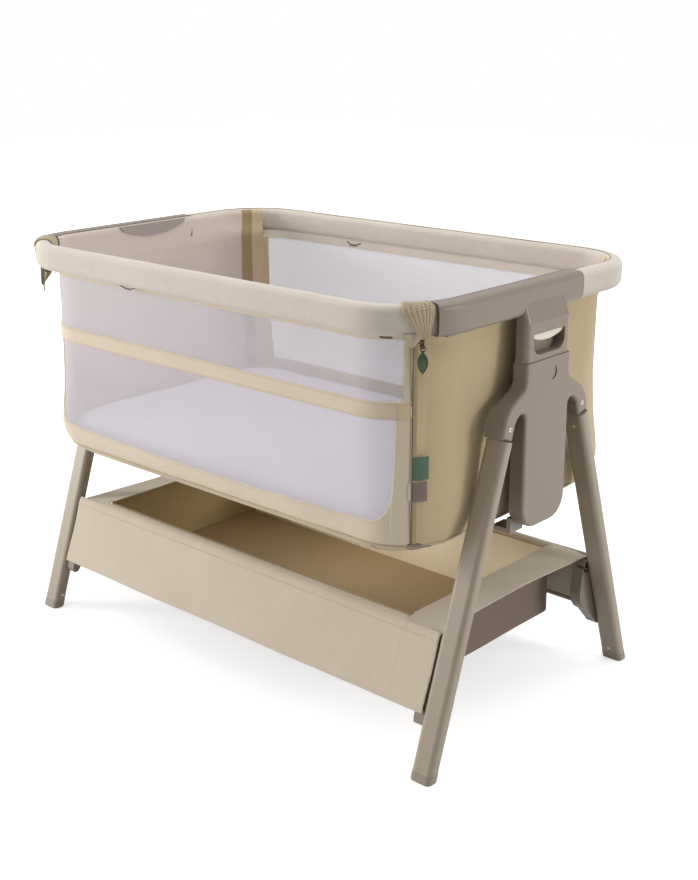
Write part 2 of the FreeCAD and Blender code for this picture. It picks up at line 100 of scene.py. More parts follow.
def linear(hex_colour):
    """Scene-linear colour of an sRGB hex value."""
    values = [int(hex_colour[i:i + 2], 16) / 255 for i in (1, 3, 5)]
    return tuple(v / 12.92 if v <= 0.04045 else ((v + 0.055) / 1.055) ** 2.4 for v in values)


def colour_property(name, hex_colour, description):
    return bpy.props.FloatVectorProperty(name=name, description=description, subtype="COLOR", size=3,
                                         min=0.0, max=1.0, default=linear(hex_colour))


def length_property(name, millimetres, description):
    return bpy.props.FloatProperty(name=name, description=description, unit="LENGTH", min=0.0,
                                   default=millimetres * MM)


class CribSizes(bpy.types.PropertyGroup):
    """Sizes that a user would change without touching the frame."""
    wall_draw: length_property("Wall draw-in", 6.0, "How far the stretched end walls pull in at mid height")
    rail_crown: length_property("Rail crown", 0.9, "How far the padded rails swell between their edges")
    gather_depth: length_property("Gather depth", 3.0, "Height of the pleats at the two front corners")
    thread: length_property("Thread spacing", 1.5, "Spacing of the threads drawn on the woven cloth")
    mesh_cell: length_property("Mesh cell", 2.4, "Distance between the holes of the window mesh")
    stitch_pitch: length_property("Stitch pitch", 4.5, "Distance between stitches on the seams")
    mattress_swell: length_property("Mattress swell", 5.0, "Most that a point of the mattress may swell")
    apron_ripple: length_property("Apron ripple", 1.6, "Depth of the soft waves in the hanging aprons")


class CribColours(bpy.types.PropertyGroup):
    """Base colours of the cloths, plastics and paint."""
    rail: colour_property("Rail cloth", "#c8beb0", "Woven cover of the padded rails")
    wall: colour_property("Wall cloth", "#bba883", "Woven cloth of the end and back walls")
    band: colour_property("Band cloth", "#cdbfa8", "Woven bands round the front windows")
    base: colour_property("Base cloth", "#c3b498", "Cloth bowl under the mattress")
    lining: colour_property("Lining", "#cdbfb2", "Soft lining inside the end walls")
    mesh: colour_property("Window mesh", "#d6d1d7", "Open knit mesh of the windows")
    mattress: colour_property("Mattress knit", "#cdcad3", "Knitted mattress cover")
    apron: colour_property("Apron cloth", "#c4b8a4", "Aprons and flaps of the storage shelf")
    box_inside: colour_property("Box inside", "#f3e7cb", "Long inner walls and floor of the storage box")
    box_outside: colour_property("Box outside", "#7d6c62", "Coated outside of the storage box")
    plastic: colour_property("Moulded plastic", "#84776a", "End mouldings and fork housings")
    paint: colour_property("Leg paint", "#978a77", "Powder coat of the four legs")
    pull: colour_property("Pull enamel", "#35502f", "Leaf shaped zip pulls")
    label: colour_property("Green label", "#4f6b54", "Upper woven label")


def sizes():
    return bpy.context.scene.crib_sizes


def size_mm(key):
    """One of the sizes that a user can change, in millimetres."""
    return getattr(sizes(), key) / MM


# ---- plan shapes --------------------------------------------------------------------------
def plan_point(a, b, r, d):
    """Point and outward direction on a rounded rectangle, d along it from the middle of the front."""
    side, d = (1 if d >= 0 else -1), abs(d)
    front, corner, end = a - r, r * math.pi / 2, 2 * (b - r)
    if d < front:
        x, y, nx, ny = d, -b, 0.0, -1.0
    elif d < front + corner:
        t = (d - front) / r
        nx, ny = math.sin(t), -math.cos(t)
        x, y = front + r * nx, r - b + r * ny
    elif d < front + corner + end:
        x, y, nx, ny = a, r - b + d - front - corner, 1.0, 0.0
    elif d < front + 2 * corner + end:
        t = (d - front - corner - end) / r
        nx, ny = math.cos(t), math.sin(t)
        x, y = front + r * nx, b - r + r * ny
    else:
        x, y, nx, ny = 2 * front + 2 * corner + end - d, b, 0.0, 1.0
    return side * x, y, side * nx, ny


def share_point(a, b, r, share):
    """Point at a share 0 to 5 round a rounded rectangle: front, corner, end, corner and back count 1 each."""
    lengths = (a - r, r * math.pi / 2, 2 * (b - r), r * math.pi / 2, a - r)
    whole = min(4, int(abs(share)))
    d = sum(lengths[:whole]) + lengths[whole] * (abs(share) - whole)
    return plan_point(a, b, r, math.copysign(d, share))


def tub_size(z):
    """Half length, half width and corner radius of the tub at height z, with the levels smoothed."""
    heights = [level[0] for level in TUB_LEVELS]
    near = [z + k for k in (-6, -3, 0, 3, 6)]
    return [float(np.mean(np.interp(near, heights, [level[i] for level in TUB_LEVELS]))) for i in (1, 2, 3)]


def round_length(a, b, r):
    """Length all the way round a rounded rectangle."""
    return 4 * (a - r) + 4 * (b - r) + 2 * math.pi * r


def half_way_round(z):
    return round_length(*tub_size(z)) / 2


def arc_at_x(x, z):
    """Distance along the front of the tub to the point at x, which may lie on the corner."""
    a, _, r = tub_size(z)
    front = a - r
    return x if abs(x) <= front else math.copysign(front + r * math.asin((abs(x) - front) / r), x)


def arc_at_zip(z, across=0.0, plan=None):
    """Distance along the tub to the right zip; across moves that many millimetres towards the end wall.

    plan is another rounded rectangle to measure along, such as the inner face of the rim."""
    a, b, r = plan or tub_size(z)
    cx, cy = a - r, r - b
    ux, uy = ZIP_DIR
    wx, wy = ZIP_AT[0] - across * uy - cx, ZIP_AT[1] + across * ux - cy
    along = wx * ux + wy * uy
    t = -along + math.sqrt(along ** 2 - wx ** 2 - wy ** 2 + r ** 2)
    return cx + r * math.atan2(wx + t * ux, -(wy + t * uy))


def hump(value, low, high):
    """Smooth rise and fall between low and high, 1 in the middle."""
    t = min(1.0, max(0.0, (value - low) / (high - low)))
    return math.sin(math.pi * t) ** 2


def step(value, low, high):
    """Smooth step from 0 at low to 1 at high; low may be the larger."""
    t = min(1.0, max(0.0, (value - low) / (high - low)))
    return t * t * (3 - 2 * t)


def ripple(u, v, size, seed=0.0):
    """Slow wandering wave in -1..1, the way stretched cloth is never quite flat."""
    return (math.sin(u / size + 1.7 * seed) * math.cos(v / (0.8 * size) + seed)
            + 0.6 * math.sin((u + 0.7 * v) / (0.55 * size) + 2.3 * seed)) / 1.6


def evenly(low, high, count):
    """The values from low to high in count equal steps, both ends included."""
    return [low + (high - low) * i / count for i in range(count + 1)]


def plan_out(plan, d, out, z, back=False):
    """Point at height z, out from a rounded rectangle at a distance d along it."""
    x, y, nx, ny = plan_point(*plan, d)
    x, y = x + nx * out, y + ny * out
    return (x, -y if back else y, z)


def tub_point(d, z, out, back=False):
    return plan_out(tub_size(z), d, out, z, back)


# ---- meshes -------------------------------------------------------------------------------
def link_mesh(name, verts, faces, uvs=None, face_slots=None, materials=(), sharp=42.0):
    """Mesh object at the origin from millimetre points; uvs are millimetres too, one for each point."""
    mesh = bpy.data.meshes.new(name)
    mesh.from_pydata([tuple(c * MM for c in v) for v in verts], [], faces)
    if uvs is not None:
        layer = mesh.uv_layers.new(name="UVMap")
        index = np.zeros(len(mesh.loops), np.int64)
        mesh.loops.foreach_get("vertex_index", index)
        layer.data.foreach_set("uv", (np.array(uvs, float)[index] * MM).ravel())
    for material in materials:
        mesh.materials.append(material)
    if face_slots is not None:
        mesh.polygons.foreach_set("material_index", face_slots)
    mesh.shade_smooth()
    mesh.set_sharp_from_angle(angle=math.radians(sharp))
    mesh.update()
    obj = bpy.data.objects.new(name, mesh)
    bpy.context.scene.collection.objects.link(obj)
    return obj


def spread(count, edge=0.0):
    """Steps from 0 to 1 with three extra steps close to each end, so that a rolled edge has its shape."""
    steps = [i / count for i in range(count + 1)]
    if edge:
        steps = sorted(set(steps + [edge * 0.25, edge * 0.6, edge, 1 - edge, 1 - edge * 0.6, 1 - edge * 0.25]))
    return steps


def shell(name, grid, thick, materials, roll=0.0, flip=False, wrap=False, uvs=None):
    """Closed cloth shell: the outer face through grid[i][j] = (x, y, z), given its thickness inwards.

    roll is the width over which the edges thin to a rounded hem; wrap joins the last column to the first."""
    p = np.array(grid, float)
    m, n = p.shape[:2]
    ahead = np.roll(p, -1, 0) - np.roll(p, 1, 0)
    if not wrap:
        ahead[0], ahead[-1] = p[1] - p[0], p[-1] - p[-2]
    up = np.gradient(p, axis=1)
    normal = np.cross(ahead, up)
    normal /= np.maximum(np.linalg.norm(normal, axis=2, keepdims=True), 1e-9)
    if flip:
        normal = -normal
    run_u = np.concatenate([np.zeros((1, n)), np.cumsum(np.linalg.norm(np.diff(p, axis=0), axis=2), 0)])
    run_v = np.concatenate([np.zeros((m, 1)), np.cumsum(np.linalg.norm(np.diff(p, axis=1), axis=2), 1)], 1)
    thin = np.zeros((m, n))
    if roll:
        edge_v = np.minimum(run_v, run_v[:, -1:] - run_v)
        edge_u = edge_v if wrap else np.minimum(run_u, run_u[-1:] - run_u)
        near = np.clip(np.minimum(edge_u, edge_v) / roll, 0, 1)
        thin = 0.42 * thick * (1 - np.sqrt(1 - (1 - near) ** 2))
    outer = p - normal * thin[..., None]
    inner = p - normal * (thick - thin)[..., None]
    verts = np.concatenate([outer.reshape(-1, 3), inner.reshape(-1, 3)])
    flat = np.stack([run_u, run_v], 2).reshape(-1, 2) if uvs is None else np.array(uvs, float).reshape(-1, 2)
    faces, slots = [], []
    total = m * n

    def quad(a, b, c, d, slot):
        faces.append((a, d, c, b) if flip else (a, b, c, d))
        slots.append(slot)

    last = len(materials) - 1
    for i in range(m if wrap else m - 1):
        k = (i + 1) % m
        for j in range(n - 1):
            a, b, c, d = i * n + j, k * n + j, k * n + j + 1, i * n + j + 1
            quad(a, b, c, d, 0)
            quad(a + total, d + total, c + total, b + total, last)
        low, high = (i * n, k * n), (i * n + n - 1, k * n + n - 1)
        quad(low[0] + total, low[1] + total, low[1], low[0], 0)
        quad(high[0], high[1], high[1] + total, high[0] + total, 0)
    if not wrap:
        for j in range(n - 1):
            quad(j, j + 1, j + 1 + total, j + total, 0)
            e = (m - 1) * n + j
            quad(e + 1, e, e + total, e + 1 + total, 0)
    return link_mesh(name, verts, faces, np.concatenate([flat, flat]), slots, materials)


def ring_faces(rings, sides, closed=False):
    """Quads that join one ring of points to the next, with both end caps unless the last joins the first."""
    faces = []
    for i in range(rings if closed else rings - 1):
        n = (i + 1) % rings
        faces += [(i * sides + k, i * sides + (k + 1) % sides, n * sides + (k + 1) % sides, n * sides + k)
                  for k in range(sides)]
    if not closed:
        faces += [tuple(range(sides - 1, -1, -1)), tuple(range((rings - 1) * sides, rings * sides))]
    return faces


def tube(name, path, radius, material, sides=8, closed=False, section=(1.0, 1.0)):
    """Round bar swept along a list of points; section stretches it across and upwards."""
    p = [Vector(q) for q in path]
    count = len(p)
    verts, uvs = [], []
    side = Vector((0, 0, 1)).cross(p[1] - p[0])
    side = side.normalized() if side.length > 1e-6 else Vector((1, 0, 0))
    run = 0.0
    for i, q in enumerate(p):
        ahead = p[(i + 1) % count] if closed or i + 1 < count else q
        behind = p[i - 1] if closed or i else q
        tangent = (ahead - behind).normalized()
        side = (side - tangent * side.dot(tangent)).normalized()
        other = tangent.cross(side)
        run += (q - p[i - 1]).length if i else 0.0
        for k in range(sides):
            t = 2 * math.pi * k / sides
            verts.append(q + side * (math.cos(t) * radius * section[0]) + other * (math.sin(t) * radius * section[1]))
            uvs.append((run, 2 * math.pi * radius * k / sides))
    return link_mesh(name, verts, ring_faces(count, sides, closed), uvs, None, [material])


def join(name, objects):
    """Several objects as one piece."""
    first = objects[0]
    for o in objects:
        o.select_set(True)
    with bpy.context.temp_override(active_object=first, selected_editable_objects=objects):
        bpy.ops.object.join()
    first.name = first.data.name = name
    first.select_set(False)
    return first


def settle(obj, body, slot, *nodes):
    """The piece rides on its body and stands for its nodes; slot is not used."""
    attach(obj, body)
    if nodes:
        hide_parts(*nodes)
    return obj


def mirrored(obj, name):
    """Copy of a piece on the other end of the crib, with its faces turned back to face outwards."""
    mesh = obj.data.copy()
    for v in mesh.vertices:
        v.co.x = -v.co.x
    mesh.flip_normals()
    mesh.name = name
    copy = bpy.data.objects.new(name, mesh)
    bpy.context.scene.collection.objects.link(copy)
    return copy


def recalculate(obj):
    """Turns all faces of a closed mesh outwards."""
    work = bmesh.new()
    work.from_mesh(obj.data)
    bmesh.ops.recalc_face_normals(work, faces=work.faces)
    work.to_mesh(obj.data)
    work.free()
    return obj


def apply_modifiers(obj):
    """Makes what the modifiers show the object's own plain mesh."""
    obj.update_tag()
    bpy.context.view_layer.update()
    graph = bpy.context.evaluated_depsgraph_get()
    mesh = bpy.data.meshes.new_from_object(obj.evaluated_get(graph))
    obj.modifiers.clear()
    old, obj.data = obj.data, mesh
    mesh.name = obj.name
    bpy.data.meshes.remove(old)


# ---- materials ----------------------------------------------------------------------------
def fill(tree, node, inputs):
    """Sets a node's inputs to values, or links them from other nodes' outputs."""
    for key, value in inputs.items():
        if isinstance(value, bpy.types.NodeSocket):
            tree.links.new(value, node.inputs[key])
        else:
            node.inputs[key].default_value = value


def add_node(tree, kind, inputs=None, **settings):
    node = tree.nodes.new(kind)
    for key, value in settings.items():
        setattr(node, key, value)
    fill(tree, node, inputs or {})
    return node


def new_material(name):
    material = bpy.data.materials.new(name)
    material.use_nodes = True
    tree = material.node_tree
    tree.nodes.clear()
    surface = add_node(tree, "ShaderNodeBsdfPrincipled")
    add_node(tree, "ShaderNodeOutputMaterial", {"Surface": surface.outputs[0]})
    return material, tree, surface


def shade(colour, factor):
    return tuple(min(1.0, c * factor) for c in colour) + (1.0,)


def maths(tree, operation, *values, **settings):
    return add_node(tree, "ShaderNodeMath", dict(enumerate(values)), operation=operation, **settings).outputs[0]


def noise(tree, where, scale, detail):
    return add_node(tree, "ShaderNodeTexNoise", {"Vector": where, "Scale": scale, "Detail": detail}).outputs[0]


def ranged(tree, value, low, high):
    """A share 0 to 1 spread over low to high."""
    return add_node(tree, "ShaderNodeMapRange", {"Value": value, "To Min": low, "To Max": high}).outputs[0]


def tinted(tree, share, colour, low, high):
    """The colour, wandering from a darker to a lighter shade of itself."""
    return add_node(tree, "ShaderNodeMix", {0: share, 6: shade(colour, low), 7: shade(colour, high)},
                    data_type="RGBA").outputs[2]


def bumped(tree, height, strength, distance):
    return add_node(tree, "ShaderNodeBump", {"Height": height, "Strength": strength, "Distance": distance}).outputs[0]


def cloth_place(tree):
    return add_node(tree, "ShaderNodeUVMap", uv_map="UVMap").outputs[0]


def solid_place(tree):
    return add_node(tree, "ShaderNodeTexCoord").outputs["Object"]


def crossed_waves(tree, place, turns):
    """Product of two sine waves at right angles; turns are their radians to a metre."""
    parts = add_node(tree, "ShaderNodeSeparateXYZ", {"Vector": place}).outputs
    waves = [maths(tree, "SINE", maths(tree, "MULTIPLY", parts[axis], turn)) for axis, turn in zip("XY", turns)]
    return maths(tree, "MULTIPLY", *waves)


SLUB_LONG, SLUB_THIN = 1 / 0.030, 1 / 0.0014      # size of the uneven threads, as repeats to a metre
FLECK_SIZE, FLECK_RADIUS = 1 / 0.0075, 0.13


def woven(name, colour, thread, contrast, sheen=0.25, fleck=0.0):
    """Plain-woven linen-look polyester: crossing threads, uneven slubs both ways, and a soft sheen.

    The real threads are about 0.4 mm apart; they are drawn as coarse as `thread` so that they show."""
    _, tree, surface = new_material(name)
    place = cloth_place(tree)
    weave = crossed_waves(tree, place, (math.pi / thread, math.pi / thread))
    slubs = []
    for stretch in ((SLUB_LONG, SLUB_THIN, 1.0), (SLUB_THIN, SLUB_LONG, 1.0)):
        placed = add_node(tree, "ShaderNodeMapping", {"Vector": place, "Scale": stretch})
        slubs.append(noise(tree, placed.outputs[0], 1.0, 2.0))
    slub = maths(tree, "ADD", *slubs)
    cloud = noise(tree, place, 9.0, 2.0)
    mixed = maths(tree, "MULTIPLY_ADD", cloud, 0.5, maths(tree, "MULTIPLY_ADD", slub, 0.42, -0.17))
    ramp = add_node(tree, "ShaderNodeValToRGB", {"Fac": mixed})
    low, high = ramp.color_ramp.elements
    low.position, high.position = 0.22, 0.78
    low.color, high.color = shade(colour, 1 - contrast), shade(colour, 1 + contrast * 0.7)
    base = ramp.outputs[0]
    if fleck:
        cells = add_node(tree, "ShaderNodeTexVoronoi", {"Vector": place, "Scale": FLECK_SIZE})
        spot = maths(tree, "LESS_THAN", cells.outputs["Distance"], FLECK_RADIUS)
        base = add_node(tree, "ShaderNodeMix", {0: maths(tree, "MULTIPLY", spot, fleck), 6: base,
                                                7: shade(colour, 0.55)}, data_type="RGBA").outputs[2]
    height = maths(tree, "MULTIPLY_ADD", weave, 0.3, slub)
    fill(tree, surface, {"Base Color": base, "Normal": bumped(tree, height, 0.35, 0.0006), "Roughness": 0.92,
                         "Specular IOR Level": 0.25, "Sheen Weight": sheen, "Sheen Roughness": 0.6})


def knitted(name, colour):
    """Brushed polyester knit of the mattress cover: almost even, with faint wales and a little fuzz."""
    _, tree, surface = new_material(name)
    place = solid_place(tree)
    ribs = add_node(tree, "ShaderNodeTexWave", {"Vector": place, "Scale": 80.0, "Distortion": 1.5, "Detail": 1.0},
                    bands_direction="X").outputs[0]
    base = tinted(tree, noise(tree, place, 7.0, 3.0), colour, 0.96, 1.03)
    fill(tree, surface, {"Base Color": base, "Normal": bumped(tree, ribs, 0.15, 0.0004), "Roughness": 0.9,
                         "Specular IOR Level": 0.2, "Sheen Weight": 0.3})


def open_mesh(name, colour, cell, cover):
    """Warp-knitted polyester mesh: round holes in staggered rows, so what is behind shows through greyed."""
    _, tree, surface = new_material(name)
    place = cloth_place(tree)
    holes = crossed_waves(tree, place, (2 * math.pi / cell, 2 * math.pi / (cell * 0.9)))
    veil = maths(tree, "MULTIPLY_ADD", holes, -0.18, cover, use_clamp=True)
    base = tinted(tree, noise(tree, place, 12.0, 1.0), colour, 0.97, 1.03)
    fill(tree, surface, {"Base Color": base, "Alpha": veil, "Roughness": 0.85, "Specular IOR Level": 0.2})


def moulded(name, colour, roughness=0.42, grain_mm=0.9, strength=0.08):
    """Injection-moulded ABS or nylon with a fine spark-eroded grain: satin, evenly coloured.

    The grain is about 0.3 mm on the part and is drawn coarser so that it breaks up the highlight."""
    _, tree, surface = new_material(name)
    place = solid_place(tree)
    grain, cloud = noise(tree, place, 1000 / grain_mm, 2.0), noise(tree, place, 14.0, 3.0)
    fill(tree, surface, {"Base Color": tinted(tree, cloud, colour, 0.95, 1.05),
                         "Roughness": ranged(tree, cloud, roughness - 0.05, roughness + 0.07),
                         "Normal": bumped(tree, grain, strength, 0.0003), "IOR": 1.5})
    return surface


def powder_coat(name, colour):
    """Powder-coated aluminium tube: a satin skin with a faint orange peel and a thin clear gloss."""
    surface = moulded(name, colour, roughness=0.44, grain_mm=2.2, strength=0.12)
    surface.inputs["Coat Weight"].default_value = 0.12
    surface.inputs["Coat Roughness"].default_value = 0.35


def plated(name, colour, roughness):
    """Plated steel of the screws and zip fittings: metallic, lightly tumbled so the highlight is broad."""
    _, tree, surface = new_material(name)
    wear = noise(tree, solid_place(tree), 900.0, 3.0)
    fill(tree, surface, {"Base Color": tinted(tree, wear, colour, 0.75, 1.2), "Metallic": 1.0,
                         "Roughness": ranged(tree, wear, roughness - 0.08, roughness + 0.12)})


# woven cloths: colour, contrast of the threads, and what else differs
CLOTHS = {
    "rail cloth": ("rail", 0.10, {}),
    "wall cloth": ("wall", 0.12, {}),
    "band cloth": ("band", 0.10, {}),
    "base cloth": ("base", 0.10, {}),
    "gather cloth": ("#b3a388", 0.18, {}),
    "rail piping": ("#7d7164", 0.10, {}),
    "rail cuff": ("#887b6b", 0.06, {}),
    "lining": ("lining", 0.08, {"fleck": 0.55}),
    "apron cloth": ("apron", 0.09, {}),
    "box inside cloth": ("box_inside", 0.14, {}),
    "box outside cloth": ("box_outside", 0.08, {"sheen": 0.1}),
    "box end cloth": ("#b09b70", 0.14, {}),
    "corner tape": ("#c8b592", 0.12, {}),
    "inner binding": ("#a08c67", 0.16, {}),
    "zip tape": ("#a3906a", 0.12, {"thread": 0.0012}),
    "webbing": ("#c3b79d", 0.14, {"thread": 0.0022}),
    "green label": ("label", 0.12, {"thread": 0.0011}),
    "taupe label": ("#77695f", 0.12, {"thread": 0.0011}),
    "sewing thread": ("#c2b69c", 0.10, {"thread": 0.0008}),
}
# mouldings: colour, roughness and strength of the grain
MOULDINGS = {
    "moulded plastic": ("plastic", 0.42, 0.08),
    "handle plastic": ("#ddd6c2", 0.36, 0.08),
    "grip plastic": ("#9c9089", 0.5, 0.08),
    "foot plastic": ("#8b8170", 0.5, 0.08),
    "bracket plastic": ("#84796c", 0.5, 0.08),
    "latch plastic": ("#5b5146", 0.45, 0.08),
    "pull enamel": ("pull", 0.34, 0.25),
    "base board": ("#a58f6e", 0.7, 0.08),
    "zip coil": ("#6f5f49", 0.5, 0.08),
}
METALS = {"screw steel": ("#b9b3a6", 0.32), "zip brass": ("#5b4c3a", 0.4), "post aluminium": ("#928e87", 0.42)}
MESH_COVER = {"window mesh": 0.40, "back mesh": 0.58}
PAINTS = {"leg paint": "paint", "tube paint": "#8f877b"}


def finishes():
    """Every finish of the crib, made once."""
    if "rail cloth" not in bpy.data.materials:
        chosen = bpy.context.scene.crib_colours

        def tint(key):
            return linear(key) if key.startswith("#") else getattr(chosen, key)

        for name, (key, contrast, other) in CLOTHS.items():
            woven(name, tint(key), contrast=contrast, **{"thread": sizes().thread, **other})
        for name, cover in MESH_COVER.items():
            open_mesh(name, chosen.mesh, sizes().mesh_cell, cover)
        knitted("mattress knit", chosen.mattress)
        for name, (key, roughness, strength) in MOULDINGS.items():
            moulded(name, tint(key), roughness, strength=strength)
        for name, key in PAINTS.items():
            powder_coat(name, tint(key))
        for name, (key, roughness) in METALS.items():
            plated(name, tint(key), roughness)
    return {m.name: m for m in bpy.data.materials}


# ---- repeated small pieces, by geometry nodes -----------------------------------------------
ALONG, AT_POINTS = "pieces along a path", "pieces at points"


def pieces_tree(name):
    """Copies of a small piece, Z along each point's `out` direction; along a path, X follows the path."""
    if name in bpy.data.node_groups:
        return bpy.data.node_groups[name]
    tree = bpy.data.node_groups.new(name, "GeometryNodeTree")
    number = "Pitch" if name == ALONG else "Size"
    for socket, kind in (("Geometry", "Geometry"), ("Piece", "Object"), (number, "Float"), ("Finish", "Material")):
        tree.interface.new_socket(socket, in_out="INPUT", socket_type=f"NodeSocket{kind}")
    tree.interface.new_socket("Geometry", in_out="OUTPUT", socket_type="NodeSocketGeometry")
    given = add_node(tree, "NodeGroupInput").outputs
    piece = add_node(tree, "GeometryNodeObjectInfo", {"Object": given["Piece"]})
    out = add_node(tree, "GeometryNodeInputNamedAttribute", {"Name": "out"}, data_type="FLOAT_VECTOR").outputs[0]
    if name == ALONG:
        path = add_node(tree, "GeometryNodeMeshToCurve", {"Mesh": given["Geometry"]})
        spaced = add_node(tree, "GeometryNodeResampleCurve", {"Curve": path.outputs[0], "Length": given[number]},
                          mode="LENGTH")
        tangent = add_node(tree, "GeometryNodeInputTangent")
        along = add_node(tree, "FunctionNodeAlignRotationToVector", {"Vector": tangent.outputs[0]}, axis="X")
        turned = add_node(tree, "FunctionNodeAlignRotationToVector", {"Rotation": along.outputs[0], "Vector": out},
                          axis="Z", pivot_axis="X")
        placed = {"Points": spaced.outputs[0]}
    else:
        turned = add_node(tree, "FunctionNodeAlignRotationToVector", {"Vector": out}, axis="Z")
        placed = {"Points": given["Geometry"], "Scale": given[number]}
    copies = add_node(tree, "GeometryNodeInstanceOnPoints",
                      {"Instance": piece.outputs["Geometry"], "Rotation": turned.outputs[0], **placed})
    real = add_node(tree, "GeometryNodeRealizeInstances", {"Geometry": copies.outputs[0]})
    painted = add_node(tree, "GeometryNodeSetMaterial", {"Geometry": real.outputs[0], "Material": given["Finish"]})
    add_node(tree, "NodeGroupOutput", {"Geometry": painted.outputs[0]})
    return tree


def grown(name, kind, paths, piece, number, finish):
    """Copies of a piece on paths, each a list of (point, out), as one object with a plain mesh.

    number is the pitch along a path in millimetres, or the size of a piece at a point."""
    tree = pieces_tree(kind)
    verts, outs, edges = [], [], []
    for path in paths:
        first = len(verts)
        verts += [tuple(c * MM for c in p) for p, _ in path]
        outs += [o for _, o in path]
        edges += [(first + i, first + i + 1) for i in range(len(path) - 1)]
    mesh = bpy.data.meshes.new(name)
    mesh.from_pydata(verts, edges if kind == ALONG else [], [])
    attribute = mesh.attributes.new("out", "FLOAT_VECTOR", "POINT")
    attribute.data.foreach_set("vector", np.array(outs, np.float32).ravel())
    obj = bpy.data.objects.new(name, mesh)
    bpy.context.scene.collection.objects.link(obj)
    modifier = obj.modifiers.new("pieces", "NODES")
    modifier.node_group = tree
    values = {"Piece": piece, "Finish": finish, "Pitch": number * MM, "Size": number}
    for socket in tree.interface.items_tree:
        if socket.name in values:
            modifier[socket.identifier] = values[socket.name]
    apply_modifiers(obj)
    if not obj.data.materials:
        obj.data.materials.append(finish)
    obj.data.shade_smooth()
    return obj


def master(name, verts, faces):
    """Small piece that the trees copy; it is removed when the copies are made."""
    obj = link_mesh(name, verts, faces)
    obj.hide_render = True
    return obj


def stitches(name, paths, body, slot):
    """Rows of stitches standing a little proud of the cloth: short six-sided bars with tapered ends."""
    verts = [(x, r * math.cos(t * math.pi / 3), r * math.sin(t * math.pi / 3))
             for x, r in ((-1.5, 0.12), (-0.9, 0.38), (0.9, 0.38), (1.5, 0.12)) for t in range(6)]
    piece = master("stitch", verts, ring_faces(4, 6))
    made = grown(name, ALONG, paths, piece, size_mm("stitch_pitch"), finishes()["sewing thread"])
    bpy.data.objects.remove(piece)
    return settle(made, body, slot)


# ---- operators ----------------------------------------------------------------------------
class CribOperator:
    bl_options = {"REGISTER", "UNDO"}


class CRIB_OT_stage(CribOperator, bpy.types.Operator):
    """Pale floor, soft daylight and the camera at the photograph's viewing angle"""
    bl_idname = "crib.stage"
    bl_label = "Stage"

    def execute(self, context):
        build_camera()
        build_room()
        build_lamps()
        return {"FINISHED"}


# camera as fitted to the photograph: turned this far round and above the crib, image 698 x 880
CAMERA_AT = (1533.1, -1600.9, 1085.1)
CAMERA_AZIMUTH, CAMERA_ELEVATION, CAMERA_ROLL = 42.41, 17.94, -0.31
FOCAL_PX, LONG_SIDE_PX, SENSOR = 1321.96, 880.0, 36.0

# the floor glows towards the lens, less under the crib than from GLOW_TO metres outwards
FLOOR_GREY, FLOOR_REACH, GLOW_NEAR, GLOW_FROM, GLOW_TO = 0.70, 9000, 0.60, 0.5, 1.6
ROOM_LIGHT = 0.72
CARD_CORNERS, CARD_HEIGHT = ((700, -2900), (2900, -2400), (3200, -300)), 2600

# where in metres, how wide, watts, colour and what it is turned to
LAMPS = {
    "key softbox": ((-4.0, -2.6, 1.4), 1.5, 134.0, (1.0, 0.985, 0.965), (0, 0, 0.4)),
    "front softbox": ((-1.5, -3.1, 1.1), 1.0, 16.0, (1.0, 0.985, 0.965), (0, 0, 0.4)),
    "side softbox": ((3.6, 1.3, 1.3), 1.1, 46.0, (1.0, 0.99, 0.97), (0, 0, 0.4)),
    "top softbox": ((0.2, 0.6, 3.2), 2.6, 38.0, (0.97, 0.98, 1.0), (0, 0, 0.4)),
    "shelf lamp": ((0.02, 0.08, 0.30), 0.24, 0.17, (1.0, 0.97, 0.9), (0.02, 0.12, 0.1)),
}


def build_camera():
    scene = bpy.context.scene
    scene.view_settings.view_transform = "Standard"
    data = bpy.data.cameras.new("camera")
    camera = bpy.data.objects.new("camera", data)
    scene.collection.objects.link(camera)
    data.sensor_width = SENSOR
    data.lens = FOCAL_PX * SENSOR / LONG_SIDE_PX
    data.clip_end = 30.0
    az, el, roll = (math.radians(v) for v in (CAMERA_AZIMUTH, CAMERA_ELEVATION, CAMERA_ROLL))
    back = Vector((math.sin(az) * math.cos(el), -math.cos(az) * math.cos(el), math.sin(el)))
    right = Vector((math.cos(az), math.sin(az), 0))
    up = back.cross(right)
    right, up = right * math.cos(roll) + up * math.sin(roll), up * math.cos(roll) - right * math.sin(roll)
    rows = [(right[i], up[i], back[i], CAMERA_AT[i] * MM) for i in range(3)]
    camera.matrix_world = Matrix(rows + [(0, 0, 0, 1)])
    scene.camera = camera


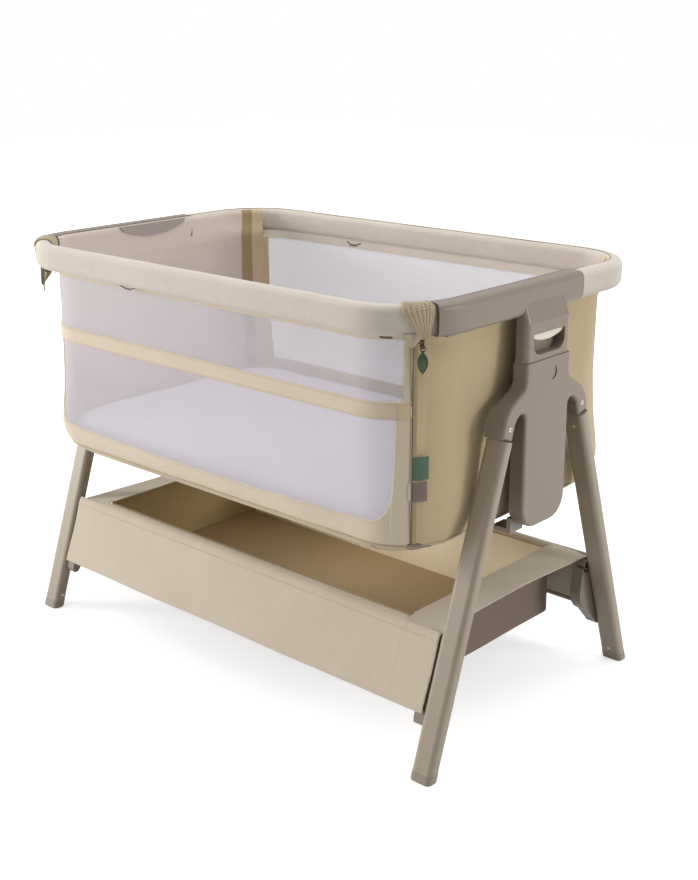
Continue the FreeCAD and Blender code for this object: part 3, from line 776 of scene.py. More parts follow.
def build_room():
    """Floor, white world and the black card."""
    material, tree, surface = new_material("studio paper")
    rays = add_node(tree, "ShaderNodeLightPath").outputs
    seen = maths(tree, "MAXIMUM", maths(tree, "MAXIMUM", rays["Is Camera Ray"], rays["Is Glossy Ray"]),
                 rays["Is Transmission Ray"])
    away = add_node(tree, "ShaderNodeVectorMath", {0: solid_place(tree)}, operation="LENGTH")
    fade = add_node(tree, "ShaderNodeMapRange", {"Value": away.outputs["Value"], "From Min": GLOW_FROM,
                                                 "From Max": GLOW_TO, "To Min": GLOW_NEAR, "To Max": 1.0})
    fill(tree, surface, {"Base Color": (FLOOR_GREY, FLOOR_GREY, FLOOR_GREY, 1), "Roughness": 0.9,
                         "Specular IOR Level": 0.1, "Emission Color": (1, 1, 1, 1),
                         "Emission Strength": maths(tree, "MULTIPLY", seen, fade.outputs[0])})
    corners = [(x * FLOOR_REACH, y * FLOOR_REACH, 0) for x, y in ((-1, -1), (1, -1), (1, 1), (-1, 1))]
    link_mesh("floor", corners, [(0, 1, 2, 3)], None, None, [material])

    world = bpy.data.worlds.new("white room")
    bpy.context.scene.world = world
    world.use_nodes = True
    tree = world.node_tree
    tree.nodes.clear()
    rays = add_node(tree, "ShaderNodeLightPath").outputs
    seen = maths(tree, "MAXIMUM", rays["Is Camera Ray"], rays["Is Transmission Ray"])
    strength = ranged(tree, seen, ROOM_LIGHT, 1.0)
    sky = add_node(tree, "ShaderNodeBackground", {"Color": (1, 1, 1, 1), "Strength": strength})
    add_node(tree, "ShaderNodeOutputWorld", {"Surface": sky.outputs[0]})

    # behind the camera, so that the faces turned that way fall off as in the photograph
    material, tree, surface = new_material("black card")
    surface.inputs["Base Color"].default_value = (0.02, 0.02, 0.02, 1)
    points = [(x, y, z) for x, y in CARD_CORNERS for z in (0, CARD_HEIGHT)]
    card = link_mesh("card", points, [(0, 2, 3, 1), (2, 4, 5, 3)], None, None, [material])
    card.visible_camera = False


def build_lamps():
    for name, (at, size, watts, colour, towards) in LAMPS.items():
        light = bpy.data.lights.new(name, "AREA")
        light.shape, light.size, light.energy, light.color = "DISK", size, watts, colour
        holder = bpy.data.objects.new(name, light)
        holder.location = at
        holder.rotation_mode = "QUATERNION"
        holder.rotation_quaternion = (Vector(towards) - Vector(at)).to_track_quat("-Z", "Y")
        bpy.context.scene.collection.objects.link(holder)


class CRIB_OT_frame_finishes(CribOperator, bpy.types.Operator):
    """Plastic, paint and steel finishes on the frame's own rigid parts"""
    bl_idname = "crib.frame_finishes"
    bl_label = "Frame finishes"

    def execute(self, context):
        finish_frame()
        return {"FINISHED"}


FRAME_FINISHES = {
    "moulded plastic": ("right_housing", "left_housing", "right_end_rail", "left_end_rail"),
    "leg paint": tuple(f"{a}_{b}_leg" for a in ("front", "back") for b in ("right", "left")),
    "foot plastic": tuple(f"{a}_{b}_foot" for a in ("front", "back") for b in ("right", "left")),
    "bracket plastic": tuple(f"{a}_{b}_bracket" for a in ("front", "back") for b in ("right", "left")),
    "tube paint": ("front_shelf_tube", "back_shelf_tube"),
    "handle plastic": ("right_release", "left_release"),
    "grip plastic": ("right_inner_plate", "left_inner_plate"),
    "latch plastic": ("right_latch", "left_latch"),
    "zip brass": ("right_zip_slider", "left_zip_slider"),
    "post aluminium": ("right_post", "left_post"),
    "base board": ("base_board", "storage_floor"),
}
LEG_X, LEG_Y0, LEG_LEAN, LEG_HX, LEG_HY = 459.0, 266.0, 0.34, 19.0, 12.0
LEG_BORE, BORE_ROUND = 8.2, 6.5               # inset of a corner's centre in the leg tube's bore, and its radius
PLUG_FOOT, CUT_Y, CUT_Z = 476.0, 88.2, 485.9  # where the plugs start, and a point of the cut that ends the legs


def leg_plugs():
    """Plastic plugs that close the leg tubes, flush with their square cut tops inside the fork housings."""
    pieces = []
    for sx, sy in ((1, 1), (1, -1), (-1, 1), (-1, -1)):
        verts = []
        for top in (0, 1):
            for k in range(24):
                t = 2 * math.pi * (k + 0.5) / 24
                px, py = math.cos(t), math.sin(t)
                x = LEG_X + math.copysign(LEG_HX - LEG_BORE, px) + BORE_ROUND * px
                y = LEG_Y0 - LEG_LEAN * PLUG_FOOT + math.copysign(LEG_HY - LEG_BORE, py) + BORE_ROUND * py
                rise = top * (CUT_Z - PLUG_FOOT + LEG_LEAN * (y - CUT_Y)) / (1 + LEG_LEAN ** 2)
                verts.append((sx * x, sy * (y - LEG_LEAN * rise), PLUG_FOOT + rise))
        pieces.append(recalculate(link_mesh("plug", verts, ring_faces(2, 24), None, None, [finishes()["leg paint"]])))
    settle(join("leg_tube_plugs", pieces), "stand", "leg_paint")


def finish_frame():
    made = finishes()
    leg_plugs()
    for finish, nodes in FRAME_FINISHES.items():
        for node in nodes:
            slots = NODES[node].data.materials
            slots.clear()
            slots.append(made[finish])


# ---- padded rails ---------------------------------------------------------------------------
class CRIB_OT_rails(CribOperator, bpy.types.Operator):
    """Padded cloth rails along the front and round the back"""
    bl_idname = "crib.rails"
    bl_label = "Padded rails"

    def execute(self, context):
        rail("front_rail_cover", rim_arc(SPLIT_DEG), False, "drop_side", "front_rail")
        rail("back_rail_cover", to_seam(RIM_MID), True, "bassinet", "back_rail")
        rail_linings()
        back_piping()
        return {"FINISHED"}


def rim_inset(amount):
    """Plan of the rim, that far in from its outer edge."""
    return RIM_A - amount, RIM_B - amount, RIM_R - amount


RIM_MID = rim_inset(RIM_T / 2)
RIM_MID_Z, RIM_HALF = (RIM_TOP + RIM_LOW) / 2, (RIM_TOP - RIM_LOW) / 2
SECTION_ROUND = 10.5
CUFF = 13.0                                   # plain end of the front rail, mostly under the gather


def to_seam(plan):
    """Distance along a plan of the rim from the middle of the back to the end of the back rail."""
    a, b, r = plan
    return a - r + r * math.pi / 2 + (b - r) - SEAM_Y


def rim_arc(deg):
    """Distance from the middle of the front to the point on the rim that lies deg below the end's direction."""
    a, _, r = RIM_MID
    return a - r + r * math.radians(90 - deg)


def back_piping():
    """Thin seam round the inner top edge of the back rail."""
    plan = rim_inset(19.5)
    reach = to_seam(plan) - 1
    path = [plan_out(plan, d, 0.0, RIM_TOP - 0.2, back=True) for d in evenly(-reach, reach, 160)]
    settle(tube("back_rail_piping", path, 0.9, finishes()["rail piping"]), "bassinet", "rail_cloth")


LINING_FOOT = ((638.0, -1.4), (644.0, -0.6), (650.0, 0.3))
BRIDGE, BRIDGE_FROM, BRIDGE_TO = (656.0, 662.0, 668.0, 674.0, 680.0, 686.0), 658.0, 691.0
END_LEVELS = ((691.0, 0.0), (697.0, 0.0), (702.5, 0.0), (705.5, 0.55), (708.0, 1.75), (709.6, 3.2))
RAIL_LEVELS = ((691.0, 0.0), (700.0, 0.1), (703.0, 0.6), (705.5, 1.9), (707.5, 3.7))
UNDER_FOOT, UNDER_LEVELS = tuple((z, 1.2) for z in (655.0, 659.0, 663.0, 666.6)), ((668.5, 3.0), (671.0, 6.5))
END_DEPTH, CORNER_DEPTH, BINDING_DEPTH = 3.0, 0.6, 0.9    # how far in from the rim's inner face each layer lies
BINDING_END, BINDING_SEAM, BINDING_BACK = 20.0, 1.0, -21.0  # edges of the two back bindings, off the zip's line


def inner_lining(name, reach, levels, depth, cloth, foot=LINING_FOOT, bridge=BRIDGE):
    """Cloth from the inside of the tub wall up over the inner face of the rim, pulled taut between the two.

    reach gives the share round at a step 0 to 1 for a plan; foot is (height, distance off the wall), which may
    be two distances from the first step to the last, and levels (height, distance outwards from the rim)."""
    rim = rim_inset(RIM_T + depth)
    grid, uvs = [], []
    for t in evenly(0, 1, 120):
        plans = []
        for z, off in foot:
            start, end = off if isinstance(off, tuple) else (off, off)
            plans.append((z, tuple(v - CLOTH - start - (end - start) * t for v in tub_size(z))))
        wall = plans[-1][1]
        for z in bridge:
            w = step(z, BRIDGE_FROM, BRIDGE_TO)
            plans.append((z, tuple(p + (q - p) * w for p, q in zip(wall, rim))))
        row = [share_point(*plan, reach(t, plan))[:2] + (z,) for z, plan in plans]
        x, y, nx, ny = share_point(*rim, reach(t, rim))
        row += [(x + nx * (out - 0.15), y + ny * (out - 0.15), z) for z, out in levels]
        grid.append(row)
        uvs.append([(reach(t, rim) * 260.0, q[2]) for q in row])
    return recalculate(shell(name, grid, 0.9, [finishes()[cloth]], flip=True, uvs=uvs))


def rail_linings():
    """Linings over the inner face of the rim at each end, and the bindings of the back corners over them."""
    plan = a, b, r = rim_inset(RIM_T + END_DEPTH)
    first = 1 + (90 - SPLIT_DEG) / 90
    last = 2 + (b - r + SEAM_Y) / (2 * (b - r))

    def corner(across, plan):
        """Share round at the back corner's zip line, or off it by `across` towards the end."""
        a, _, r = plan
        return 4 - (arc_at_zip(0, across, plan) - (a - r)) / (r * math.pi / 2)

    def between(p, q):
        return lambda t, plan: corner(p + (q - p) * t, plan)

    end = inner_lining("lining", lambda t, plan: first + (last - first) * t, END_LEVELS, END_DEPTH, "lining")
    round_corner = inner_lining("lining", lambda t, plan: last + (corner(BINDING_END - 2, plan) - last) * t,
                                RAIL_LEVELS, CORNER_DEPTH, "lining")
    edge = []
    for share in evenly(first, last, 80):
        x, y, nx, ny = share_point(*plan, share)
        edge.append((x + nx * 4.4, y + ny * 4.4, 710.4))
    piping = tube("edge", edge, 1.1, finishes()["rail piping"])
    right = join("right_rail_lining", [end, round_corner, piping])
    left = mirrored(right, "left_rail_lining")

    heights = tuple(range(354, 650, 18)) + (650,)
    drawn = tuple((z, (1.6 + size_mm("wall_draw") * hump(z, *DRAW_HEIGHTS), 0.8)) for z in heights)
    wall = tuple((z, 0.7) for z in heights)
    strips = [inner_lining("binding", between(BINDING_END, BINDING_SEAM), RAIL_LEVELS, BINDING_DEPTH,
                           "inner binding", drawn),
              inner_lining("binding", between(BINDING_SEAM, BINDING_BACK), RAIL_LEVELS, BINDING_DEPTH,
                           "corner tape", wall),
              inner_lining("strip", lambda t, plan: corner(-20.0, plan) + (5 - corner(-20.0, plan)) * t,
                           UNDER_LEVELS, 0.0, "rail cloth", UNDER_FOOT, ())]
    half = join("half", strips)
    back = join("back_inner_bindings", [half, mirrored(half, "other half")])
    for obj in (right, left, back):
        settle(obj, "bassinet", "tub_cloth")


def rim_section(count, grow, crown=0.0):
    """Rounded section of the rim: (outwards, up) from its middle, starting low on the inside."""
    w, h, r = RIM_T / 2 + grow, RIM_HALF + grow, SECTION_ROUND + grow
    out = []
    for k, (sx, sy) in enumerate(((-1, -1), (-1, 1), (1, 1), (1, -1))):
        for t in evenly(math.radians(270 - 90 * k), math.radians(180 - 90 * k), count // 4 - 1):
            n, z = sx * (w - r) + r * math.cos(t), sy * (h - r) + r * math.sin(t)
            out.append((n + math.copysign(crown, n) * (1 - (z / h) ** 2),
                        z + math.copysign(crown, z) * (1 - (n / w) ** 2)))
    return out


def swollen(n, z, grow):
    """A point of the rim's section, moved that far from the middle."""
    scale = 1 + grow / math.hypot(n, z)
    return n * scale, z * scale


def rail(name, end, back, body, node):
    """Cloth tube over the rim; closed at both ends, with a faint roll between its tight seams."""
    crown = size_mm("rail_crown")
    count = int(2 * end / 7)
    section = rim_section(44, -0.4 - crown * 0.2, crown)
    size = len(section)
    verts, uvs = [], []
    for i, d in enumerate(evenly(-end, end, count)):
        pinch = -1.2 * (1 - step(min(i, count - i) * 2 * end / count, 0, 9))
        for k, (n, z) in enumerate(section):
            n, z = swollen(n, z, pinch + 0.28 * ripple(d, k * 3.0, 34.0, 1.0 if back else 2.0))
            verts.append(plan_out(RIM_MID, d, n, RIM_MID_Z + z, back))
            uvs.append((d, k * 142.0 / size))
    faces = [face[::-1] if back else face for face in ring_faces(count + 1, size)]
    cuffs = 0 if back else int(math.ceil(CUFF / (2 * end / count)))
    slots = [int(min(f[0] // size, count - 1 - f[0] // size) < cuffs) for f in faces[:-2]] + [int(not back)] * 2
    made = finishes()
    obj = link_mesh(name, verts, faces, uvs, slots, [made["rail cloth"], made["rail cuff"]], 60)
    settle(recalculate(obj), body, "rail_cloth", node)


# ---- gathered corners -----------------------------------------------------------------------
class CRIB_OT_gathers(CribOperator, bpy.types.Operator):
    """Elastic gathers wrapped over both ends of the front rail"""
    bl_idname = "crib.gathers"
    bl_label = "Gathered corners"

    def execute(self, context):
        right = join("right_gathered_corner", [gather(), gather_tongue()])
        sleeve = join("sleeve", [gather(), hanging_end()])
        left = mirrored(sleeve, "left_gathered_corner")
        bpy.data.objects.remove(sleeve)
        settle(right, "drop_side", "gather_cloth", "right_gather")
        settle(left, "drop_side", "gather_cloth", "left_gather")
        return {"FINISHED"}


GATHER_WIDTH, GATHER_PLEATS, GATHER_POINTS = 22.5, 7.5, 64    # degrees of the corner, pleats, points round it


def gather():
    """Pleated sleeve: the folds stand up over the top of the rail and run together above the zip."""
    depth = size_mm("gather_depth")
    section = rim_section(GATHER_POINTS, 0.7)
    grid, uvs = [], []
    for t in evenly(0, 1, 180):
        row = []
        for k, (n, z) in enumerate(section):
            drawn = step(z, RIM_HALF * 1.05, -RIM_HALF) * step(n, -6, 10)
            deg = 39.7 - 3.7 * drawn + (0.5 - t) * GATHER_WIDTH * (1 - 0.62 * drawn)
            wave = abs(math.sin(math.pi * (GATHER_PLEATS * t + 0.3 * math.sin(6 * t + 0.02 * k)))) ** 0.6
            lift = depth * (0.1 + 0.9 * wave) * (0.75 + 0.25 * math.sin(2.1 * k + 9 * t))
            n, z = swollen(n, z, 0.25 + lift * step(min(t, 1 - t), 0.0, 0.05))
            row.append(plan_out(RIM_MID, rim_arc(deg), n, RIM_MID_Z + z))
        grid.append(row + [row[0]])
        uvs.append([(t * 75.0, k * 2.4) for k in range(GATHER_POINTS + 1)])
    return recalculate(shell("sleeve", grid, 0.9, [finishes()["gather cloth"]], uvs=uvs))


def gather_tongue():
    """Loose end of the gather that hangs below the rail in front of the zip."""
    grid = []
    for t in evenly(0, 1, 16):
        drop = 24.0 * (0.3 + 0.7 * math.sin(math.pi * (0.28 + 0.5 * t)) ** 2) * (1 - 0.45 * t)
        row = []
        for s in evenly(0, 1, 12):
            deg = 50.0 - 12.5 * t - 4.0 * s * (1 - t)
            out = RIM_T / 2 + 0.4 + 1.4 * math.sin(9 * t + 2.2 * s) * (0.3 + 0.7 * (1 - s)) - 6.5 * s * s
            row.append(plan_out(RIM_MID, rim_arc(deg), out, RIM_LOW + 6.0 - s * drop))
        grid.append(row)
    return recalculate(shell("tongue", grid, 1.1, [finishes()["gather cloth"]], roll=1.5))


def hanging_end():
    """Loose end that stands out from the other corner of the rim, hangs below it and narrows to a point."""
    cx, cy = RIM_A - RIM_R, RIM_R - RIM_B
    grid = []
    for t in evenly(0, 1, 28):
        z = 691.0 - 67.0 * t
        near = 122.3 - 20.0 * step(z, 668, 655) + 14.0 * step(z, 650, 624)
        row = []
        for s in evenly(0, 1, 16):
            radius = near + (126.0 - 4.5 * t - near) * s
            deg = math.radians(-31.0 + 1.5 * math.sin(7.5 * s + 3.0 * t) * step(z, 690, 665))
            row.append((cx + radius * math.cos(deg), cy + radius * math.sin(deg), z))
        grid.append(row)
    made = finishes()
    return recalculate(shell("loose end", grid, 1.6, [made["gather cloth"], made["rail piping"]], roll=0.8))


# ---- front side with its two windows ----------------------------------------------------------
class CRIB_OT_front_side(CribOperator, bpy.types.Operator):
    """Front bands and window meshes"""
    bl_idname = "crib.front_side"
    bl_label = "Front side"

    def execute(self, context):
        build_front()
        return {"FINISHED"}


def zip_line(across=0.0, sign=1):
    """Distance round the tub to the zip at a height, or off it by across; sign -1 is the left zip."""
    return lambda z: sign * arc_at_zip(z, across)


def x_line(x, sign=1):
    """Distance round the tub to the point at x, at a height."""
    return lambda z: sign * arc_at_x(x, z)


def wall_piece(name, edges, heights, counts, out, cloths, thick=CLOTH, roll=0.0, edge=0.0, back=False):
    """Closed piece of the tub wall between two upright edges and two level ones.

    edges are two distances round the tub at a height, heights two numbers or functions of the share across,
    counts the steps across and upwards, out a number or the distance outwards at (distance, height)."""
    left, right = edges
    bottom, top = (h if callable(h) else (lambda t, h=h: h) for h in heights)
    grid, uvs = [], []
    for t in spread(counts[0], edge):
        marks = []
        for s in spread(counts[1], edge):
            z = bottom(t) + (top(t) - bottom(t)) * s
            marks.append((left(z) + (right(z) - left(z)) * t, z))
        grid.append([tub_point(d, z, out(d, z) if callable(out) else out, back) for d, z in marks])
        uvs.append(marks)
    return shell(name, grid, thick, cloths, roll, flip=back, uvs=uvs)


def on_wall(d, z, out, sign=1):
    """Point on the tub wall and the direction outwards there; sign -1 puts it on the left half."""
    _, _, nx, ny = plan_point(*tub_size(z), d)
    x, y, _ = tub_point(d, z, out)
    return (sign * x, y, z), (sign * nx, ny, 0.0)


def window_foot(x):
    """Lower edge of the front window: sagging between rounded corners."""
    x = abs(x)
    lift = 0.0
    if x > LOW_MESH_X - WINDOW_R:
        over = min(x - (LOW_MESH_X - WINDOW_R), WINDOW_R)
        lift = WINDOW_R - math.sqrt(max(0.0, WINDOW_R ** 2 - over ** 2))
    return LOW_EDGE - LOW_SAG * (1 - (x / LOW_MESH_X) ** 2) + lift


def front_squash(obj):
    """Gives the front cloth a mesh of its own."""
    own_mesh(obj)


BAND_GAP = -0.3                               # front cloth ends this far short of the zip's line
SEAM_IN, PATCH_SEAM_IN = 2.6, 1.5             # stitching in from a band's edge


def build_front():
    made = finishes()

    def stretch(d, z):
        return 0.5 * ripple(d, z, 46.0, 0.7) - 1.0 * hump(z, BAND_HIGH, TUB_HEM)

    def piece(edges, heights, counts, lift=0.0, thick=CLOTH, roll=3.0, finish="band cloth"):
        return wall_piece("band", edges, heights, counts, lambda d, z: stretch(d, z) + lift, [made[finish]] * 2,
                          thick, roll, 0.02)

    zips = zip_line(BAND_GAP, -1), zip_line(BAND_GAP)
    inside_zips = lambda z: zips[0](z) + 1.0, lambda z: zips[1](z) - 1.0
    pieces = [piece(zips, (TUB_SEAM + 0.6, lambda t: window_foot((2 * t - 1) * arc_at_zip(400))), (150, 8)),
              piece(inside_zips, (BAND_LOW, BAND_HIGH), (150, 8), 1.1, 3.4),
              piece(zips, (655.0, TUB_HEM), (150, 3))]
    for _, sign in ENDS:
        for x, heights in ((TOP_MESH_X, (BAND_HIGH - 6, TUB_HEM - 5)), (LOW_MESH_X, (TUB_SEAM + 1.2, BAND_LOW + 6))):
            edges = (x_line(x, sign), zip_line(BAND_GAP, sign))[::sign]
            pieces.append(piece(edges, heights, (10, 34), lift=0.45, roll=2.5))
        edges = (x_line(LOW_MESH_X + 3, sign), zip_line(-3.0, sign))[::sign]
        pieces.append(piece(edges, (BAND_LOW + 0.8, BAND_HIGH - 0.8), (8, 8), 1.9, 1.6, 1.2, "corner tape"))
    front_squash(settle(join("front_bands", pieces), "bassinet", "band_cloth", "front_panel"))

    for name, x, heights, node in (
            ("upper_window_mesh", TOP_MESH_X + 3, (BAND_HIGH - 4, 657.0), "upper_front_mesh"),
            ("lower_window_mesh", LOW_MESH_X + 3, (lambda t: window_foot((2 * t - 1) * LOW_MESH_X) - 5, BAND_LOW + 4),
             "lower_front_mesh")):
        mesh = wall_piece(name, (x_line(x, -1), x_line(x)), heights, (120, 26), lambda d, z: stretch(d, z) - 1.2,
                          [made["window mesh"]], 0.7)
        front_squash(settle(mesh, "bassinet", "mesh_cloth", node))

    def sewn(d, z, lift, sign=1):
        return on_wall(d, z, stretch(d, z) + lift, sign)

    end = arc_at_zip(550) - 5
    rows = [[sewn(d, z, 1.2) for d in evenly(-end, end, 180)] for z in (BAND_LOW + SEAM_IN, BAND_HIGH - SEAM_IN)]
    reach = LOW_MESH_X - 6
    rows.append([sewn(d, window_foot(d) - 2.8, 0.1) for d in evenly(-reach, reach, 180)])
    rows += [[sewn(arc_at_x(LOW_MESH_X, z) + 1.5, z, 1.3, sign)
              for z in evenly(BAND_LOW + PATCH_SEAM_IN, BAND_HIGH - PATCH_SEAM_IN, 11)] for sign in (1, -1)]
    front_squash(stitches("front_stitching", rows, "bassinet", "band_cloth"))


# ---- end walls --------------------------------------------------------------------------------
class CRIB_OT_end_walls(CribOperator, bpy.types.Operator):
    """Stretched cloth walls at both ends, lined inside"""
    bl_idname = "crib.end_walls"
    bl_label = "End walls"

    def execute(self, context):
        build_end_walls()
        return {"FINISHED"}


def draw_in(d, z):
    """How far the end wall pulls in: most at the corners a little below mid height."""
    corner = 1 - 0.55 * math.exp(-((abs(d) - half_way_round(z) / 2) / 60.0) ** 2)
    return -size_mm("wall_draw") * corner * hump(z, *DRAW_HEIGHTS)


def build_end_walls():
    made = finishes()

    def out(d, z):
        near_zip = step(abs(d) - arc_at_zip(z), 0, 25) * step(half_way_round(z) - arc_at_zip(z) - abs(d), 0, 25)
        folds = 0.7 * ripple(d, z, 40.0, 3.1) + 0.5 * ripple(d * 0.4, z * 1.6, 18.0, 5.0)
        return (draw_in(d, z) + folds) * near_zip

    edges = zip_line(0.3), lambda z: half_way_round(z) - arc_at_zip(z, 0.6)
    right = wall_piece("right_end_wall", edges, (TUB_SEAM + 0.6, TUB_HEM), (110, 60), out,
                       [made["wall cloth"], made["lining"]], roll=2.0, edge=0.008)
    left = mirrored(right, "left_end_wall")
    settle(right, "bassinet", "tub_cloth", "right_end_panel")
    settle(left, "bassinet", "tub_cloth", "left_end_panel")
    rows = []
    for _, sign in ENDS:
        line = [(arc_at_zip(z, 15.0), z) for z in evenly(TUB_SEAM + 5, 645.0, 59)]
        rows.append([on_wall(d, z, out(d, z) + 0.1, sign) for d, z in line])
    stitches("end_wall_stitching", rows, "bassinet", "tub_cloth")


# ---- back side ----------------------------------------------------------------------------------
class CRIB_OT_back_side(CribOperator, bpy.types.Operator):
    """Back wall with its one wide window"""
    bl_idname = "crib.back_side"
    bl_label = "Back side"

    def execute(self, context):
        build_back()
        return {"FINISHED"}


def build_back():
    made = finishes()

    def stretch(d, z):
        return 0.5 * ripple(d, z, 52.0, 4.0)

    def piece(edges, heights, counts, lift=0.0):
        return wall_piece("band", edges, heights, counts, lambda d, z: stretch(d, z) + lift,
                          [made["wall cloth"], made["corner tape"]], roll=2.5, edge=0.02, back=True)

    zips = zip_line(-0.6, -1), zip_line(-0.6)
    pieces = [piece(zips, (TUB_SEAM + 0.6, BACK_LOW), (140, 8)), piece(zips, (BACK_HIGH - 3, TUB_HEM), (140, 3))]
    for _, sign in ENDS:
        edges = (x_line(BACK_MESH_X, sign), zip_line(-0.6, sign))[::sign]
        pieces.append(piece(edges, (TUB_SEAM + 1.2, TUB_HEM - 1), (10, 40), 0.4))
    settle(join("back_wall", pieces), "bassinet", "tub_cloth", "back_panel")

    x = BACK_MESH_X + 3
    mesh = wall_piece("back_window_mesh", (x_line(x, -1), x_line(x)), (BACK_LOW - 4, BACK_HIGH + 2), (120, 40),
                      lambda d, z: stretch(d, z) - 1.2, [made["back mesh"]], 0.7, back=True)
    settle(mesh, "bassinet", "mesh_cloth", "back_mesh")


# ---- zips, pulls and labels -----------------------------------------------------------------------
class CRIB_OT_zips(CribOperator, bpy.types.Operator):
    """Zip tapes with their teeth, and the leaf shaped pulls"""
    bl_idname = "crib.zips"
    bl_label = "Zips"

    def execute(self, context):
        build_zips()
        return {"FINISHED"}


ZIP_LOW, ZIP_HIGH, TOOTH_PITCH = 352.5, 659.0, 1.7
LEAF_TOP, LEAF_LOW, LEAF_HALF, LEAF_ROWS, LEAF_SIDES = -9.4, -40.0, 7.6, 26, 12
LEAF_TURN = math.radians(39)                  # the pull hangs square to the corner of the tub


def tooth_master():
    """One coil tooth: a low bar lying across the tape."""
    x, y, z = 0.55, 1.0, 0.45
    verts = [(sx * x, sy * y, sz * z) for sz in (-1, 1) for sy in (-1, 1) for sx in (-1, 1)]
    faces = [(0, 2, 3, 1), (4, 5, 7, 6), (0, 1, 5, 4), (2, 6, 7, 3), (0, 4, 6, 2), (1, 3, 7, 5)]
    return master("tooth", verts, faces)


def bead_master():
    """Small bead with eight sides, flattened on top."""
    verts = [(0, 0, 0.75)]
    for r, z in ((0.6, 0.55), (0.85, 0.0), (0.6, -0.45)):
        verts += [(r * math.cos(k * math.pi / 4), r * math.sin(k * math.pi / 4), z) for k in range(8)]
    faces = [(0, 1 + k, 1 + (k + 1) % 8) for k in range(8)]
    for ring in (1, 9):
        faces += [(ring + k, ring + 8 + k, ring + 8 + (k + 1) % 8, ring + (k + 1) % 8) for k in range(8)]
    faces.append(tuple(range(24, 16, -1)))
    return master("bead", verts, faces)


def build_zips():
    made = finishes()
    right = wall_piece("right_zip", (zip_line(0.4), zip_line(7.5)), (ZIP_LOW, ZIP_HIGH), (6, 60), 1.3,
                       [made["zip tape"]], 1.2, 0.8, 0.01)
    left = mirrored(right, "left_zip")
    settle(right, "bassinet", "zip_tape", "right_zip_tape")
    settle(left, "bassinet", "zip_tape", "left_zip_tape")
    tooth = tooth_master()
    for side, sign in ENDS:
        run = [on_wall(arc_at_zip(z, 0.7), z, 1.5, sign) for z in evenly(ZIP_LOW, ZIP_HIGH, 89)]
        settle(grown(f"{side}_zip_teeth", ALONG, [run], tooth, TOOTH_PITCH, made["zip coil"]), "bassinet", "zip_metal")
    bpy.data.objects.remove(tooth)
    for side, sign in ENDS:
        slider_link(side, sign)
        leaf_pull(side, sign)


def slider_link(side, sign):
    """Slide on the teeth and the short bar that carries the pull out past the rail."""
    brass = finishes()["zip brass"]
    low, high = box_mm(f"{side}_zip_slider")
    middle = (low + high) / 2
    ux, uy = ZIP_DIR
    foot = Vector((sign * (ZIP_AT[0] + 4.8 * ux), ZIP_AT[1] + 4.8 * uy, middle.z))
    bar = tube("bar", [foot, foot.lerp(middle, 0.5), middle], 1.5, brass)
    out, across = Vector((sign * ux, uy, 0)), Vector((-sign * uy, ux, 0))
    verts = []
    for z, half in ((-6.0, 2.0), (-3.0, 3.4), (3.5, 3.4), (6.0, 2.4)):
        verts += [foot + across * (p * half) + out * (q * 1.3) + Vector((0, 0, z))
                  for p, q in ((-1, -1), (1, -1), (1, 1), (-1, 1))]
    slide = recalculate(link_mesh("slide", verts, ring_faces(4, 4), None, None, [brass]))
    settle(join(f"{side}_zip_link", [bar, slide]), f"{side}_zip_runner", "zip_metal")


def leaf_pull(side, sign):
    """Enamelled leaf on a ring: pointed oval plate with a beaded border, hanging from the slider."""
    made = finishes()
    low, high = box_mm(f"{side}_zip_pull")
    top = Vector(((low.x + high.x) / 2, (low.y + high.y) / 2, high.z))
    across = Vector((math.cos(LEAF_TURN) * sign, math.sin(LEAF_TURN), 0))
    face = Vector((math.sin(LEAF_TURN) * sign, -math.cos(LEAF_TURN), 0))

    def put(u, w, v):
        return tuple(top + across * u + face * w + Vector((0, 0, v)))

    def outline(t):
        """Half width of the leaf at a share t down the blade."""
        return LEAF_HALF * math.sin(math.pi * t) ** 0.72 * (1.06 - 0.12 * t)

    def down(t):
        return LEAF_TOP + (LEAF_LOW - LEAF_TOP) * t

    def circle(radius_x, radius_z, z, count):
        turns = np.linspace(0, 2 * math.pi, count + 1)[:-1]
        return [put(radius_x * math.sin(t), 0.0, z + radius_z * math.cos(t)) for t in turns]

    verts = []
    for t in evenly(0, 1, LEAF_ROWS):
        half, thick = max(0.25, outline(t)), 1.05 * (0.4 + 0.6 * math.sin(math.pi * t))
        for s in evenly(0, 2 * math.pi, LEAF_SIDES)[:-1]:
            verts.append(put(half * math.cos(s), thick * math.sin(s), down(t)))
    faces = ring_faces(LEAF_ROWS + 1, LEAF_SIDES)
    blade = recalculate(link_mesh("blade", verts, faces, None, None, [made["pull enamel"]]))
    bead = bead_master()
    shares = [0.5 - 0.5 * math.cos(math.pi * i / 60) for i in range(61)]
    edge = [(put(outline(t) - 0.9, 0.75, down(t)), tuple(face)) for t in shares]
    edge += [(put(0.9 - outline(t), 0.75, down(t)), tuple(face)) for t in shares[59:0:-1]]
    beads = grown("beads", ALONG, [edge], bead, 1.9, made["pull enamel"])
    bpy.data.objects.remove(bead)
    ring = tube("ring", circle(3.4, 3.9, -5.0, 24), 0.75, made["zip brass"], closed=True)
    eyelet = tube("eyelet", circle(1.6, 1.7, -9.2, 16), 0.6, made["zip brass"], closed=True)
    pull = join(f"{side}_leaf_pull", [blade, beads, ring, eyelet])
    settle(pull, f"{side}_pull", "pull_rubber", f"{side}_zip_pull")


class CRIB_OT_labels(CribOperator, bpy.types.Operator):
    """Two plain woven labels beside the right zip, the loop under the corner, and the loops under the rails"""
    bl_idname = "crib.labels"
    bl_label = "Labels and loops"

    def execute(self, context):
        build_labels()
        build_strap()
        build_loops()
        return {"FINISHED"}


